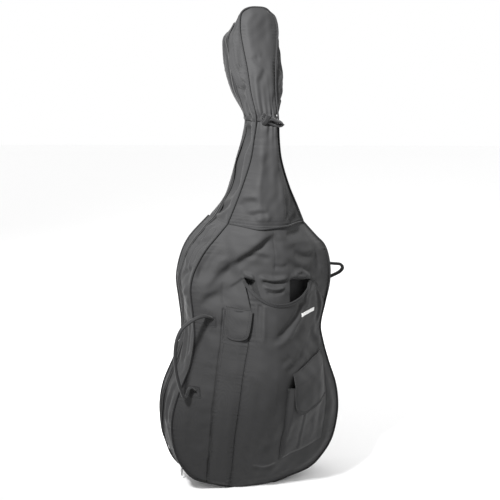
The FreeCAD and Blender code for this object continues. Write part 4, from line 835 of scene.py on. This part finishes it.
def neck_side(name, side):
    z = neck_rows()
    t = np.linspace(0, 1, int(0.20 / CELL))[None, :]
    front, rear = ("left", "back_left") if side < 0 else ("right", "back_right")
    seam, back = NECK.read("seam", z), neck_back_y(z)
    x = side * (NECK.read(front, z) * (1 - t) + NECK.read(rear, z) * t)
    y = seam + (back - seam) * t
    zz = np.broadcast_to(z, x.shape)
    p = np.stack([x, y, zz], axis=2)
    n = normals(p)
    n *= np.sign(side * n[..., 0:1])
    off = np.minimum(t, 1 - t) * (back - seam)
    off = np.minimum(off, np.minimum(zz - YOKE_Z, TOP_Z - zz))
    folds = strokes_at(zz, np.broadcast_to(t * 0.2, zz.shape), SIDE_FOLDS) * smooth(off / 0.015) * 1.3
    slack = (Noise(SEED + 25 + side, 0.11)(zz, t * 0.2) * 0.0022) * smooth(off / 0.02)
    pleat = 0.004 * gather(zz) * np.sin(2 * math.pi * t * 2.3) * smooth(off / 0.012)
    pinch = -0.006 * np.exp(-((zz - TIE_Z) / 0.02) ** 2)
    full = 0.006 + (0.014 * np.exp(-((zz - 1.60) / 0.075) ** 2) if side > 0 else 0.0)
    edge = puckers(zz, np.abs(off), seed=13 + side, height=0.0014)
    height = full * smooth(off / 0.03) + folds + slack + pleat + pinch + edge
    p = domed(p + n * height[..., None], zz, 1.0)
    return cloth(name, p, SHELL * 0.8, (side, 0, 0)), p


def neck_back():
    z = neck_rows()
    u = np.linspace(-1, 1, 2 * int(0.10 / CELL) + 15)[None, :]
    left, right = NECK.read("back_left", z), NECK.read("back_right", z)
    x = across(left, right, u)
    edge = neck_back_y(z)
    zz = np.broadcast_to(z, x.shape)
    off = np.minimum(np.where(x < 0, left, right) - np.abs(x), np.minimum(zz - YOKE_Z, TOP_Z - zz))
    swell = 0.010 * smooth(off / 0.05)
    slack = Noise(SEED + 30, 0.10)(x, zz * 0.5) * 0.0022 * smooth(off / 0.03)
    pleat = 0.004 * gather(zz) * np.sin(2 * math.pi * u * 3.1) * smooth(off / 0.012)
    pinch = -0.006 * np.exp(-((zz - TIE_Z) / 0.02) ** 2)
    y = edge + swell + slack + pleat + pinch + puckers(zz, np.abs(off), seed=17)
    p = domed(np.stack([x, y, zz], axis=2), zz, np.abs(u))
    return cloth("neck_back", p, SHELL * 0.8, (0, 1, 0)), p


# ================================================================ trim: piping, zip, handles, tie
PIPE = 0.0034
ENDPIN_HOLE = 0.017


def tube(name, path, radius, up=(0.3, 0.5, 0.8)):
    return sweep(name, path, circle(radius), up)


def seam_path(edge, y, out, ahead):
    """Path of a piping cord along the body's outline at depth y, moved out from it and ahead of it."""
    ring = np.vstack([body_edge(edge[0], -1)[:0:-1], body_edge(edge[1], 1)])
    ring = shifted(even(ring, 0.006), -out)
    z = np.maximum(ring[:, 1], PIPE + 0.0005)
    return np.stack([ring[:, 0], np.full(len(z), y + ahead), z], axis=1)


def hood_path():
    """Path of the piping up the left of the neck's front, over the hood and down its right."""
    z = np.linspace(YOKE_Z - 0.004, TOP_Z, 160)
    left = np.stack([-NECK.read("left", z), NECK.read("seam", z), z], axis=1)
    right = np.stack([NECK.read("right", z), NECK.read("seam", z), z], axis=1)
    u = np.linspace(-1, 1, 16)[1:-1]
    x = across(NECK.read("left", TOP_Z), NECK.read("right", TOP_Z), u)
    arch = np.stack([x, np.full(14, NECK.read("seam", TOP_Z) - 0.004), TOP_Z + ARCH * (-0.45 - np.abs(u) ** 3)], axis=1)
    left, right = domed(left, left[:, 2], 1.0), domed(right, right[:, 2], 1.0)
    path = smoothed(even(np.vstack([left, arch, right[::-1]]), 0.005), 1)
    return path + [0, -0.003, 0.0015] + 0.002 * np.sign(path) * [1, 0, 0]


def yoke_path():
    """Path of the piped seam between the body's front and the neck's front, sagging to the left."""
    x = np.linspace(-0.136, 0.167, 70)
    z = YOKE_Z - 0.008 * bell(x + 0.05, 0.055) + 0.003 * bell(x - 0.13, 0.05)
    y = FRONT_Y - tent(x, BODY.read("left", YOKE_Z), BODY.read("right", YOKE_Z), BODY.read("rise", YOKE_Z))
    return np.stack([x, y - 0.004 - 0.003 * np.cos(x / 0.05), z], axis=1)


def on_grid(p, column, lift, outward):
    """A column of a grid of points as a path lifted off its surface, with the surface's normals."""
    k = int(round(column * (p.shape[1] - 1)))
    n = normals(p)[:, k]
    n *= np.sign((n * outward).sum(1, keepdims=True))
    path = p[:, k]
    return path + n * lift, n


def smoothed(values, reach):
    kernel = np.ones(2 * reach + 1) / (2 * reach + 1)
    padded = np.pad(values, ((reach, reach), (0, 0)), mode="edge")
    return np.stack([np.convolve(padded[:, k], kernel, "valid") for k in range(values.shape[1])], axis=1)


def zip_path():
    """The zip's line from low on the left side up to the crown, with the cloth's normals."""
    side = sides_p[: len(sides_p) // 2]
    low, n_low = on_grid(side, 0.70, 0.0, (-1, 0, -0.2))
    up, n_up = on_grid(neck_l_p, 0.70, 0.0, (-1, 0, 0))
    keep = low[:, 2] > 0.066
    path = np.vstack([up[up[:, 2] < 1.825][::-1], low[keep]])
    n = np.vstack([n_up[up[:, 2] < 1.825][::-1], n_low[keep]])
    return smoothed(path, 6), smoothed(n, 10)


def zip_parts():
    path, n = zip_path()
    n /= np.linalg.norm(n, axis=1, keepdims=True)
    tape = sweep("zip_tape_strip", path + n * 0.0022, strap_profile(0.030, 0.0014), n)
    fine = even(path + n * 0.0045, 0.0011)
    waves = 1 + 0.22 * np.cos(np.arange(len(fine)) * math.pi)
    coil = sweep("zip_coil_teeth", fine, circle(0.0026, 8), resample(n, len(fine)), waves)
    side = np.cross(np.gradient(path, axis=0), n)
    side /= np.linalg.norm(side, axis=1, keepdims=True)
    rows = [stitches("zip_stitches", path + n * 0.0030 + side * off, n) for off in (-0.0115, 0.0115)]
    return tape, coil, join("zip_stitching", rows)


LEFT_STRAP = [(-0.206, -0.150, 0.712), (-0.222, -0.158, 0.722), (-0.248, -0.161, 0.726), (-0.283, -0.166, 0.718),
              (-0.328, -0.170, 0.690), (-0.348, -0.173, 0.660), (-0.357, -0.173, 0.625), (-0.359, -0.172, 0.580),
              (-0.354, -0.168, 0.530), (-0.342, -0.163, 0.480), (-0.328, -0.158, 0.440), (-0.315, -0.156, 0.412),
              (-0.303, -0.154, 0.414), (-0.296, -0.153, 0.438), (-0.284, -0.150, 0.444), (-0.268, -0.148, 0.432)]
RIGHT_STRAP = [(0.296, 0.0, 0.888), (0.330, 0.0, 0.880), (0.362, 0.0, 0.876), (0.392, 0.0, 0.872), (0.403, 0.0, 0.858),
               (0.392, 0.0, 0.842), (0.362, 0.0, 0.828), (0.330, 0.0, 0.816), (0.304, 0.0, 0.808)]


def strap(name, points, width, wall, flat_way):
    """Webbing folded over a cord, carried along the points; flat_way is the direction of its width."""
    path = catmull(points, 0.005)
    a = np.linspace(0, 2 * math.pi, 12, endpoint=False)
    section = np.stack([width / 2 * np.cos(a), wall / 2 * np.sin(a)], axis=1)
    ends = np.minimum(lengths(path), lengths(path)[-1] - lengths(path))
    t = np.gradient(path, axis=0)
    t /= np.linalg.norm(t, axis=1, keepdims=True)
    up = np.cross(np.broadcast_to(np.array(flat_way, float), t.shape), t)
    up /= np.linalg.norm(up, axis=1, keepdims=True)
    t, side, u = frames_along(path, up)
    flatten = 0.45 + 0.55 * smooth(ends / 0.05)
    ring = side[:, None] * section[None, :, :1] + u[:, None] * section[None, :, 1:] * flatten[:, None, None]
    points = path[:, None] + ring
    rows, cols = points.shape[:2]
    faces = grid_faces(rows, cols, closed=True).tolist()
    faces += [list(range(cols))[::-1], [(rows - 1) * cols + k for k in range(cols)]]
    return mesh_object(name, points.reshape(-1, 3), faces)


def square_patch(name, cx, cz, width, height, lift_of, turn=0.0):
    """A sewn square of webbing with a stitched box and cross."""
    c, s = math.cos(turn), math.sin(turn)

    def at(a, b):
        return (cx + a * c - b * s, cz + a * s + b * c)

    w, h = width / 2, height / 2
    outline = {"bottom": [at(-w, -h), at(w, -h)], "top": [at(-w, h), at(w, h)],
               "left": [at(-w, -h), at(-w, h)], "right": [at(w, -h), at(w, h)]}
    piece, _ = patch(name, outline, lambda x, z: lift_of(x, z) + 0.0022, 0.0018, 0.003)
    i, k = w * 0.78, h * 0.78
    rows = []
    for run in ([at(-i, -k), at(i, -k), at(i, k), at(-i, k), at(-i, -k)], [at(-i, -k), at(i, k)], [at(-i, k), at(i, -k)]):
        rows.append(stitches_on_front(name + "_row", even(run, 0.004), lift_of, 0.0024))
    return piece, join(name + "_stitches", rows)


def right_patches():
    """Two squares of webbing on the right side under the ends of the right handle."""
    half = sides_p[len(sides_p) // 2:]
    column = sides_p.shape[1] // 2
    pieces = []
    for name, z in (("right_patch_upper", 0.890), ("right_patch_lower", 0.806)):
        row = int(np.argmin(np.abs(half[:, column, 2] - z) + (half[:, column, 2] < 0.5)))
        span, deep = int(0.017 / CELL), int(0.018 / CELL)
        part = half[row - span:row + span + 1, column - deep:column + deep + 1]
        n = normals(part)
        n *= np.sign(n[..., :1])
        pieces.append(cloth(name, part + n * 0.0026, 0.0018, (1, 0, 0)))
    return pieces


def tie_path():
    """Once round the neck at the tie, from the front middle rightwards and round the back."""
    rows = neck_rows()[:, 0]
    k = int(np.argmin(np.abs(rows - TIE_Z)))
    ring = np.vstack([neck_f_p[k], neck_r_p[k], neck_b_p[k][::-1], neck_l_p[k][::-1]])
    ring = even(np.vstack([ring, ring[:1]]), 0.004)
    middle = ring.mean(0)
    away = (ring - middle) * [1, 1, 0]
    away /= np.linalg.norm(away, axis=1, keepdims=True)
    ring = smoothed(ring, 4) + away * 0.0045
    ring[:, 2] = TIE_Z + 0.004 * np.sin(ring[:, 0] / 0.03)
    start = int(np.argmin(np.abs(ring[:, 0] + 0.024) + (ring[:, 1] > -0.1)))
    away = np.roll(away, -start, axis=0)
    return np.roll(ring, -start, axis=0), away


def neck_tie():
    """The strap round the neck, its knot and the one bow loop with its short end."""
    ring, away = tie_path()
    parts = [sweep("tie_strap", ring, strap_profile(0.011, 0.003), away)]
    knot = ring[0] + [0.002, -0.010, 0.002]
    turns = []
    for tilt, size in ((0.6, 0.016), (-0.8, 0.013)):
        a = np.linspace(0, 2 * math.pi * 0.97, 26)
        loop = np.stack([size * np.cos(a) * math.sin(tilt), -0.010 * np.sin(a), size * np.cos(a)], axis=1)
        turns.append(sweep("tie_turn", knot + loop, strap_profile(0.018, 0.0045), loop + [0, 1e-4, 0]))
    bow = [(0.0, 0.0, 0.0), (0.018, -0.006, 0.004), (0.038, -0.006, -0.002), (0.060, -0.002, -0.009),
           (0.068, 0.002, -0.016), (0.058, 0.004, -0.022), (0.038, 0.002, -0.020), (0.018, -0.001, -0.012),
           (0.0, 0.0, -0.004)]
    path = catmull(np.array(bow) + knot, 0.003)
    turns.append(sweep("tie_loop", path, strap_profile(0.019, 0.0035), (-0.25, -0.55, 0.8)))
    tail = catmull(np.array([(0.0, 0.0, 0.004), (-0.008, -0.007, 0.014), (-0.016, -0.006, 0.020)]) + knot, 0.003)
    turns.append(sweep("tie_end", tail, strap_profile(0.017, 0.0035), (0.2, -0.9, 0.3)))
    return parts[0], join("tie_bow_knot", turns)


# ================================================================ materials
def new_material(name):
    m = bpy.data.materials.new(name)
    m.use_nodes = True
    tree = m.node_tree
    return m, tree, tree.nodes["Principled BSDF"]


def link(tree, a, b):
    tree.links.new(a, b)


def value_node(tree, kind, **settings):
    node = tree.nodes.new(kind)
    for key, value in settings.items():
        if key in node.inputs:
            node.inputs[key].default_value = value
        else:
            setattr(node, key, value)
    return node


def object_position(tree, scale=(1, 1, 1)):
    coord = tree.nodes.new("ShaderNodeTexCoord")
    mapping = value_node(tree, "ShaderNodeMapping", Scale=scale)
    link(tree, coord.outputs["Object"], mapping.inputs["Vector"])
    return mapping.outputs["Vector"]


def woven(name, color, yarn=0.0011, sheen=0.25, rough=0.72, bump=0.5, mottle=0.10):
    """Plain-woven cloth: crossed yarns as bump and tone, slow colour change, and a light sheen."""
    m, tree, shader = new_material(name)
    yarns = []
    for axes in ((1, 1, 0), (0, 0, 1)):
        wave = value_node(tree, "ShaderNodeTexWave", wave_type="BANDS", bands_direction="DIAGONAL", Scale=1.0, Distortion=0.6)
        wave.inputs["Detail"].default_value = 1.0
        link(tree, object_position(tree, tuple(a * 0.32 / yarn for a in axes)), wave.inputs["Vector"])
        yarns.append(wave.outputs["Fac"])
    weave = value_node(tree, "ShaderNodeMath", operation="MAXIMUM")
    link(tree, yarns[0], weave.inputs[0])
    link(tree, yarns[1], weave.inputs[1])
    slow = value_node(tree, "ShaderNodeTexNoise", Scale=9.0, Detail=4.0)
    link(tree, object_position(tree), slow.inputs["Vector"])
    tone = value_node(tree, "ShaderNodeMapRange")
    tone.inputs["To Min"].default_value = 1 - mottle
    tone.inputs["To Max"].default_value = 1 + mottle
    link(tree, slow.outputs["Fac"], tone.inputs["Value"])
    thread = value_node(tree, "ShaderNodeMapRange")
    thread.inputs["To Min"].default_value = 0.80
    thread.inputs["To Max"].default_value = 1.08
    link(tree, weave.outputs[0], thread.inputs["Value"])
    product = value_node(tree, "ShaderNodeMath", operation="MULTIPLY")
    link(tree, tone.outputs[0], product.inputs[0])
    link(tree, thread.outputs[0], product.inputs[1])
    base = value_node(tree, "ShaderNodeVectorMath", operation="SCALE")
    base.inputs[0].default_value = color
    link(tree, product.outputs[0], base.inputs["Scale"])
    link(tree, base.outputs[0], shader.inputs["Base Color"])
    relief = value_node(tree, "ShaderNodeBump", Strength=bump, Distance=0.0004)
    link(tree, weave.outputs[0], relief.inputs["Height"])
    link(tree, relief.outputs[0], shader.inputs["Normal"])
    shader.inputs["Roughness"].default_value = rough
    shader.inputs["Sheen Weight"].default_value = sheen
    shader.inputs["Sheen Roughness"].default_value = 0.45
    shader.inputs["Specular IOR Level"].default_value = 0.22
    return m


def wooden(name, dark, light, grain=(60, 60, 3), rough=0.35, coat=0.3):
    m, tree, shader = new_material(name)
    noise = value_node(tree, "ShaderNodeTexNoise", Scale=1.0, Detail=8.0, Distortion=0.4)
    link(tree, object_position(tree, grain), noise.inputs["Vector"])
    ramp = tree.nodes.new("ShaderNodeValToRGB")
    ramp.color_ramp.elements[0].position, ramp.color_ramp.elements[1].position = 0.3, 0.7
    ramp.color_ramp.elements[0].color, ramp.color_ramp.elements[1].color = (*dark, 1), (*light, 1)
    link(tree, noise.outputs["Fac"], ramp.inputs["Fac"])
    link(tree, ramp.outputs["Color"], shader.inputs["Base Color"])
    bump = value_node(tree, "ShaderNodeBump", Strength=0.15, Distance=0.0005)
    link(tree, noise.outputs["Fac"], bump.inputs["Height"])
    link(tree, bump.outputs[0], shader.inputs["Normal"])
    shader.inputs["Roughness"].default_value = rough
    shader.inputs["Coat Weight"].default_value = coat
    return m


def plain(name, color, rough, metal=0.0, scale=300.0, spread=0.12):
    """Metal, rubber or moulded plastic with fine variation in its tone and gloss."""
    m, tree, shader = new_material(name)
    noise = value_node(tree, "ShaderNodeTexNoise", Scale=scale, Detail=3.0)
    link(tree, object_position(tree), noise.inputs["Vector"])
    gloss = value_node(tree, "ShaderNodeMapRange")
    gloss.inputs["To Min"].default_value = max(0.02, rough - spread)
    gloss.inputs["To Max"].default_value = min(1.0, rough + spread)
    link(tree, noise.outputs["Fac"], gloss.inputs["Value"])
    link(tree, gloss.outputs[0], shader.inputs["Roughness"])
    tone = value_node(tree, "ShaderNodeVectorMath", operation="SCALE")
    tone.inputs[0].default_value = color
    shade = value_node(tree, "ShaderNodeMapRange")
    shade.inputs["To Min"].default_value, shade.inputs["To Max"].default_value = 0.85, 1.12
    link(tree, noise.outputs["Fac"], shade.inputs["Value"])
    link(tree, shade.outputs[0], tone.inputs["Scale"])
    link(tree, tone.outputs[0], shader.inputs["Base Color"])
    shader.inputs["Metallic"].default_value = metal
    return m


MATERIALS = {
    "nylon": woven("charcoal_nylon", (0.0185, 0.0185, 0.019), sheen=0.06, rough=0.75, bump=0.25),
    "webbing": woven("black_webbing", (0.013, 0.013, 0.0135), yarn=0.002, bump=0.6, sheen=0.08),
    # binding: the nylon's cloth made darker as painted shade for the shadow along the piping; the same darkened colour
    # also goes on the mouth binding, zip tape and tie
    "binding": woven("edge_binding_painted_shade", (0.010, 0.010, 0.0105), yarn=0.0014, bump=0.5, sheen=0.08),
    "thread": plain("sewing_thread", (0.020, 0.020, 0.021), 0.7),
    "coil": plain("zip_coil", (0.012, 0.012, 0.012), 0.7),
    "zip_metal": plain("lacquered_metal", (0.012, 0.012, 0.012), 0.6),
    "label": woven("pale_label", (0.75, 0.75, 0.74), yarn=0.0009, mottle=0.04),
    "spruce": wooden("varnished_spruce", (0.36, 0.15, 0.04), (0.55, 0.27, 0.09)),
    "maple": wooden("varnished_maple", (0.17, 0.06, 0.02), (0.32, 0.13, 0.04), (12, 12, 70)),
    "raw_wood": wooden("bare_spruce", (0.50, 0.36, 0.20), (0.65, 0.50, 0.31), coat=0.0, rough=0.6),
    "ebony": wooden("oiled_ebony", (0.008, 0.007, 0.006), (0.03, 0.025, 0.02), rough=0.4),
    "bridge_maple": wooden("bare_maple", (0.50, 0.34, 0.18), (0.66, 0.48, 0.28), coat=0.0, rough=0.5),
    "string_steel": plain("wound_steel", (0.50, 0.50, 0.50), 0.3, 1.0),
    "brass": plain("satin_brass", (0.60, 0.42, 0.16), 0.35, 1.0),
    "pin_steel": plain("plated_steel", (0.55, 0.55, 0.56), 0.25, 1.0),
    "tip_rubber": plain("black_rubber", (0.02, 0.02, 0.02), 0.8),
}


def finish_piece(obj, slot, body, *nodes):
    obj.data.materials.clear()
    obj.data.materials.append(MATERIALS[slot])
    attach(obj, body)
    if nodes:
        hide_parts(*nodes)
    return obj


def dress_cad_nodes():
    """Gives every carried-over CAD node the material of its slot."""
    slots = {s["node"]: s["material_slot"] for s in frame["record"]["subparts"]}
    for name, obj in frame["nodes"].items():
        obj.data.materials.clear()
        obj.data.materials.append(MATERIALS[slots[name]])


# ================================================================ camera, light and floor
CAMERA_AT = (-1.5707, -4.0600, 1.7513)
CAMERA_AZIMUTH, CAMERA_ELEVATION, CAMERA_ROLL = 21.637, 10.654, 2.168
CAMERA_LENS, CAMERA_SENSOR = 80.52, 36.0
CAMERA_SHIFT = (-0.0213, 0.0063)


def camera():
    a, e, r = (math.radians(v) for v in (CAMERA_AZIMUTH, CAMERA_ELEVATION, CAMERA_ROLL))
    ahead = Vector((math.sin(a) * math.cos(e), math.cos(a) * math.cos(e), -math.sin(e)))
    right = Vector((math.cos(a), -math.sin(a), 0))
    up = right.cross(ahead)
    right2 = right * math.cos(r) + up * math.sin(r)
    up2 = up * math.cos(r) - right * math.sin(r)
    turn = Matrix((right2, up2, -ahead)).transposed().to_4x4()
    cam = bpy.data.objects.new("camera", bpy.data.cameras.new("camera"))
    cam.matrix_world = Matrix.Translation(CAMERA_AT) @ turn
    cam.data.lens, cam.data.sensor_width = CAMERA_LENS, CAMERA_SENSOR
    cam.data.shift_x, cam.data.shift_y = CAMERA_SHIFT
    cam.data.clip_end = 60
    bpy.context.scene.collection.objects.link(cam)
    bpy.context.scene.camera = cam


def area_light(name, at, size, power, towards=(0, 0, 0.95)):
    data = bpy.data.lights.new(name, "AREA")
    data.shape, data.size, data.energy = "SQUARE", size, power
    obj = bpy.data.objects.new(name, data)
    obj.location = at
    obj.rotation_euler = (Vector(towards) - Vector(at)).to_track_quat("-Z", "Y").to_euler()
    bpy.context.scene.collection.objects.link(obj)


def studio():
    data = bpy.data.lights.new("key", "SPOT")
    data.energy, data.shadow_soft_size = 1250, 0.22
    data.spot_size, data.spot_blend = math.radians(68), 1.0
    key = bpy.data.objects.new("key", data)
    key.location = (-1.75, -1.5, 2.75)
    key.rotation_euler = (Vector((-0.2, -0.1, 1.72)) - key.location).to_track_quat("-Z", "Y").to_euler()
    bpy.context.scene.collection.objects.link(key)
    area_light("rim", (-1.2, 3.6, 3.4), 2.5, 30)
    world = bpy.data.worlds.new("world")
    world.use_nodes = True
    world.node_tree.nodes["Background"].inputs["Color"].default_value = (1, 1, 1, 1)
    world.node_tree.nodes["Background"].inputs["Strength"].default_value = 1.0
    bpy.context.scene.world = world
    bpy.context.scene.view_settings.view_transform = "Standard"
    floor = mesh_object("floor", [(-14, -14, 0), (14, -14, 0), (14, 14, 0), (-14, 14, 0)], [(0, 1, 2, 3)])
    m, tree, shader = new_material("pale_floor")
    shader.inputs["Base Color"].default_value = (0.97, 0.97, 0.97, 1)
    shader.inputs["Roughness"].default_value = 0.9
    floor.data.materials.append(m)


camera()
studio()
dress_cad_nodes()

front, front_p = body_front()
sides, sides_p = body_sides()
bored(sides, ENDPIN_HOLE, -0.02, 0.02)
back, back_p = body_back()
neck_f, neck_f_p = neck_front()
neck_l, neck_l_p = neck_side("neck_left", -1)
neck_r, neck_r_p = neck_side("neck_right", 1)
neck_b, neck_b_p = neck_back()
finish_piece(front, "nylon", ROOT, "front_panel")
finish_piece(sides, "nylon", ROOT, "left_gusset", "right_gusset", "base_gusset")
finish_piece(back, "nylon", ROOT, "back_panel")
finish_piece(neck_f, "nylon", ROOT, "neck_front_panel")
finish_piece(neck_l, "nylon", ROOT, "neck_left_gusset")
finish_piece(neck_r, "nylon", ROOT, "neck_right_gusset")
finish_piece(neck_b, "nylon", ROOT, "neck_back_panel")

music, music_p = music_sheet()
finish_piece(music, "nylon", ROOT, "music_pocket")
bow, bow_p = bow_sheet()
finish_piece(bow, "nylon", ROOT, "bow_pocket")
bellows, bellows_p = patch("accessory_pocket_cover", ACCESSORY, accessory_lift, 0.0022, CELL)
finish_piece(bellows, "nylon", ROOT, "accessory_pocket")
bow_flap, bow_flap_p = patch("bow_flap_cloth", BOW_FLAP, bow_flap_lift, 0.0028, 0.0024)
finish_piece(bow_flap, "nylon", "bow_flap", "bow_flap")
flap, flap_p = patch("accessory_flap_cloth", ACCESSORY_FLAP, accessory_flap_lift, 0.0028, 0.0030)
finish_piece(flap, "nylon", "accessory_flap", "accessory_flap")

mouth_line = shifted(catmull(MOUTH, 0.004), -0.0058)
binding = band_on_front("mouth_edge_binding", mouth_line, 0.0125, 0.0022, music_lift, 0.0012)
finish_piece(binding, "binding", ROOT, "mouth_binding")
rows = [stitches_on_front("mouth_row", shifted(mouth_line, by), music_lift, 0.0026) for by in (-0.0042, 0.0042)]
finish_piece(join("mouth_stitches", rows), "thread", ROOT)
seams = [(catmull(BOW_LEFT, 0.004), -0.003, bow_lift), (catmull(BOW_RIGHT, 0.004), 0.004, bow_lift),
         (catmull(BOW_RIGHT, 0.004), -0.003, music_lift), (catmull(MOUTH_TO_EDGE, 0.004), 0.005, music_lift)]
rows = [stitches_on_front("seam_row", shifted(line, by)[2:-2], lift, 0.0003) for line, by, lift in seams]
finish_piece(join("seam_stitches", rows), "thread", ROOT)
for name, outline, lift, body in (("bow_flap_stitches", BOW_FLAP, bow_flap_lift, "bow_flap"),
                                  ("accessory_flap_stitches", ACCESSORY_FLAP, accessory_flap_lift, "accessory_flap")):
    rows = [stitches_on_front("flap_row", border(outline, by), lift, 0.0003) for by in (0.004, 0.010)]
    finish_piece(join(name, rows), "thread", body)
line = catmull(ACCESSORY["left"], 0.004)
finish_piece(stitches_on_front("accessory_stitches", shifted(line, -0.003)[2:-2], accessory_lift, 0.0003), "thread", ROOT)

label_outline = {"bottom": [(0.117, 0.724), (0.200, 0.729)], "top": [(0.117, 0.739), (0.200, 0.744)],
                 "left": [(0.117, 0.724), (0.117, 0.739)], "right": [(0.200, 0.729), (0.200, 0.744)]}
label, _ = patch("woven_label", label_outline, lambda x, z: music_lift(x, z) + 0.0016, 0.0012, 0.0025)
finish_piece(label, "label", ROOT, "blank_label")

# the piping cords take the binding material, whose darker colour is painted shade
pipes = [tube("front_pipe", seam_path(("left", "right"), FRONT_Y, 0.0015, -0.004), PIPE),
         tube("hood_pipe", hood_path(), PIPE)]
finish_piece(join("front_piping_cord", pipes), "binding", ROOT, "front_piping")
back_pipe = tube("back_piping_cord", seam_path(("back_left", "back_right"), BACK_Y, 0.0015, 0.003), PIPE)
finish_piece(back_pipe, "binding", ROOT, "back_piping")
finish_piece(tube("yoke_piping_cord", yoke_path(), PIPE), "binding", ROOT, "yoke_piping")

tape, coil, zip_rows = zip_parts()
finish_piece(tape, "binding", ROOT, "zip_tape")
finish_piece(coil, "coil", ROOT, "zip_coil")
finish_piece(zip_rows, "thread", ROOT)

left_strap = strap("left_handle_strap", LEFT_STRAP, 0.023, 0.013, (0.1, 1.0, 0.0))
finish_piece(left_strap, "webbing", "left_handle", "left_handle")
right_strap = strap("right_handle_strap", RIGHT_STRAP, 0.023, 0.012, (0.0, 1.0, 0.0))
finish_piece(right_strap, "webbing", "right_handle", "right_handle")
patches = []
for name, x, z in (("left_patch_upper", -0.214, 0.702), ("left_patch_lower", -0.266, 0.425)):
    patches += square_patch(name, x, z, 0.034, 0.040, front_height, 0.06)
patches += right_patches()
finish_piece(join("handle_patch_squares", patches), "webbing", ROOT, "handle_patches")

tie, tie_knot = neck_tie()
finish_piece(tie, "binding", ROOT, "neck_tie")
finish_piece(tie_knot, "binding", ROOT, "tie_bow")
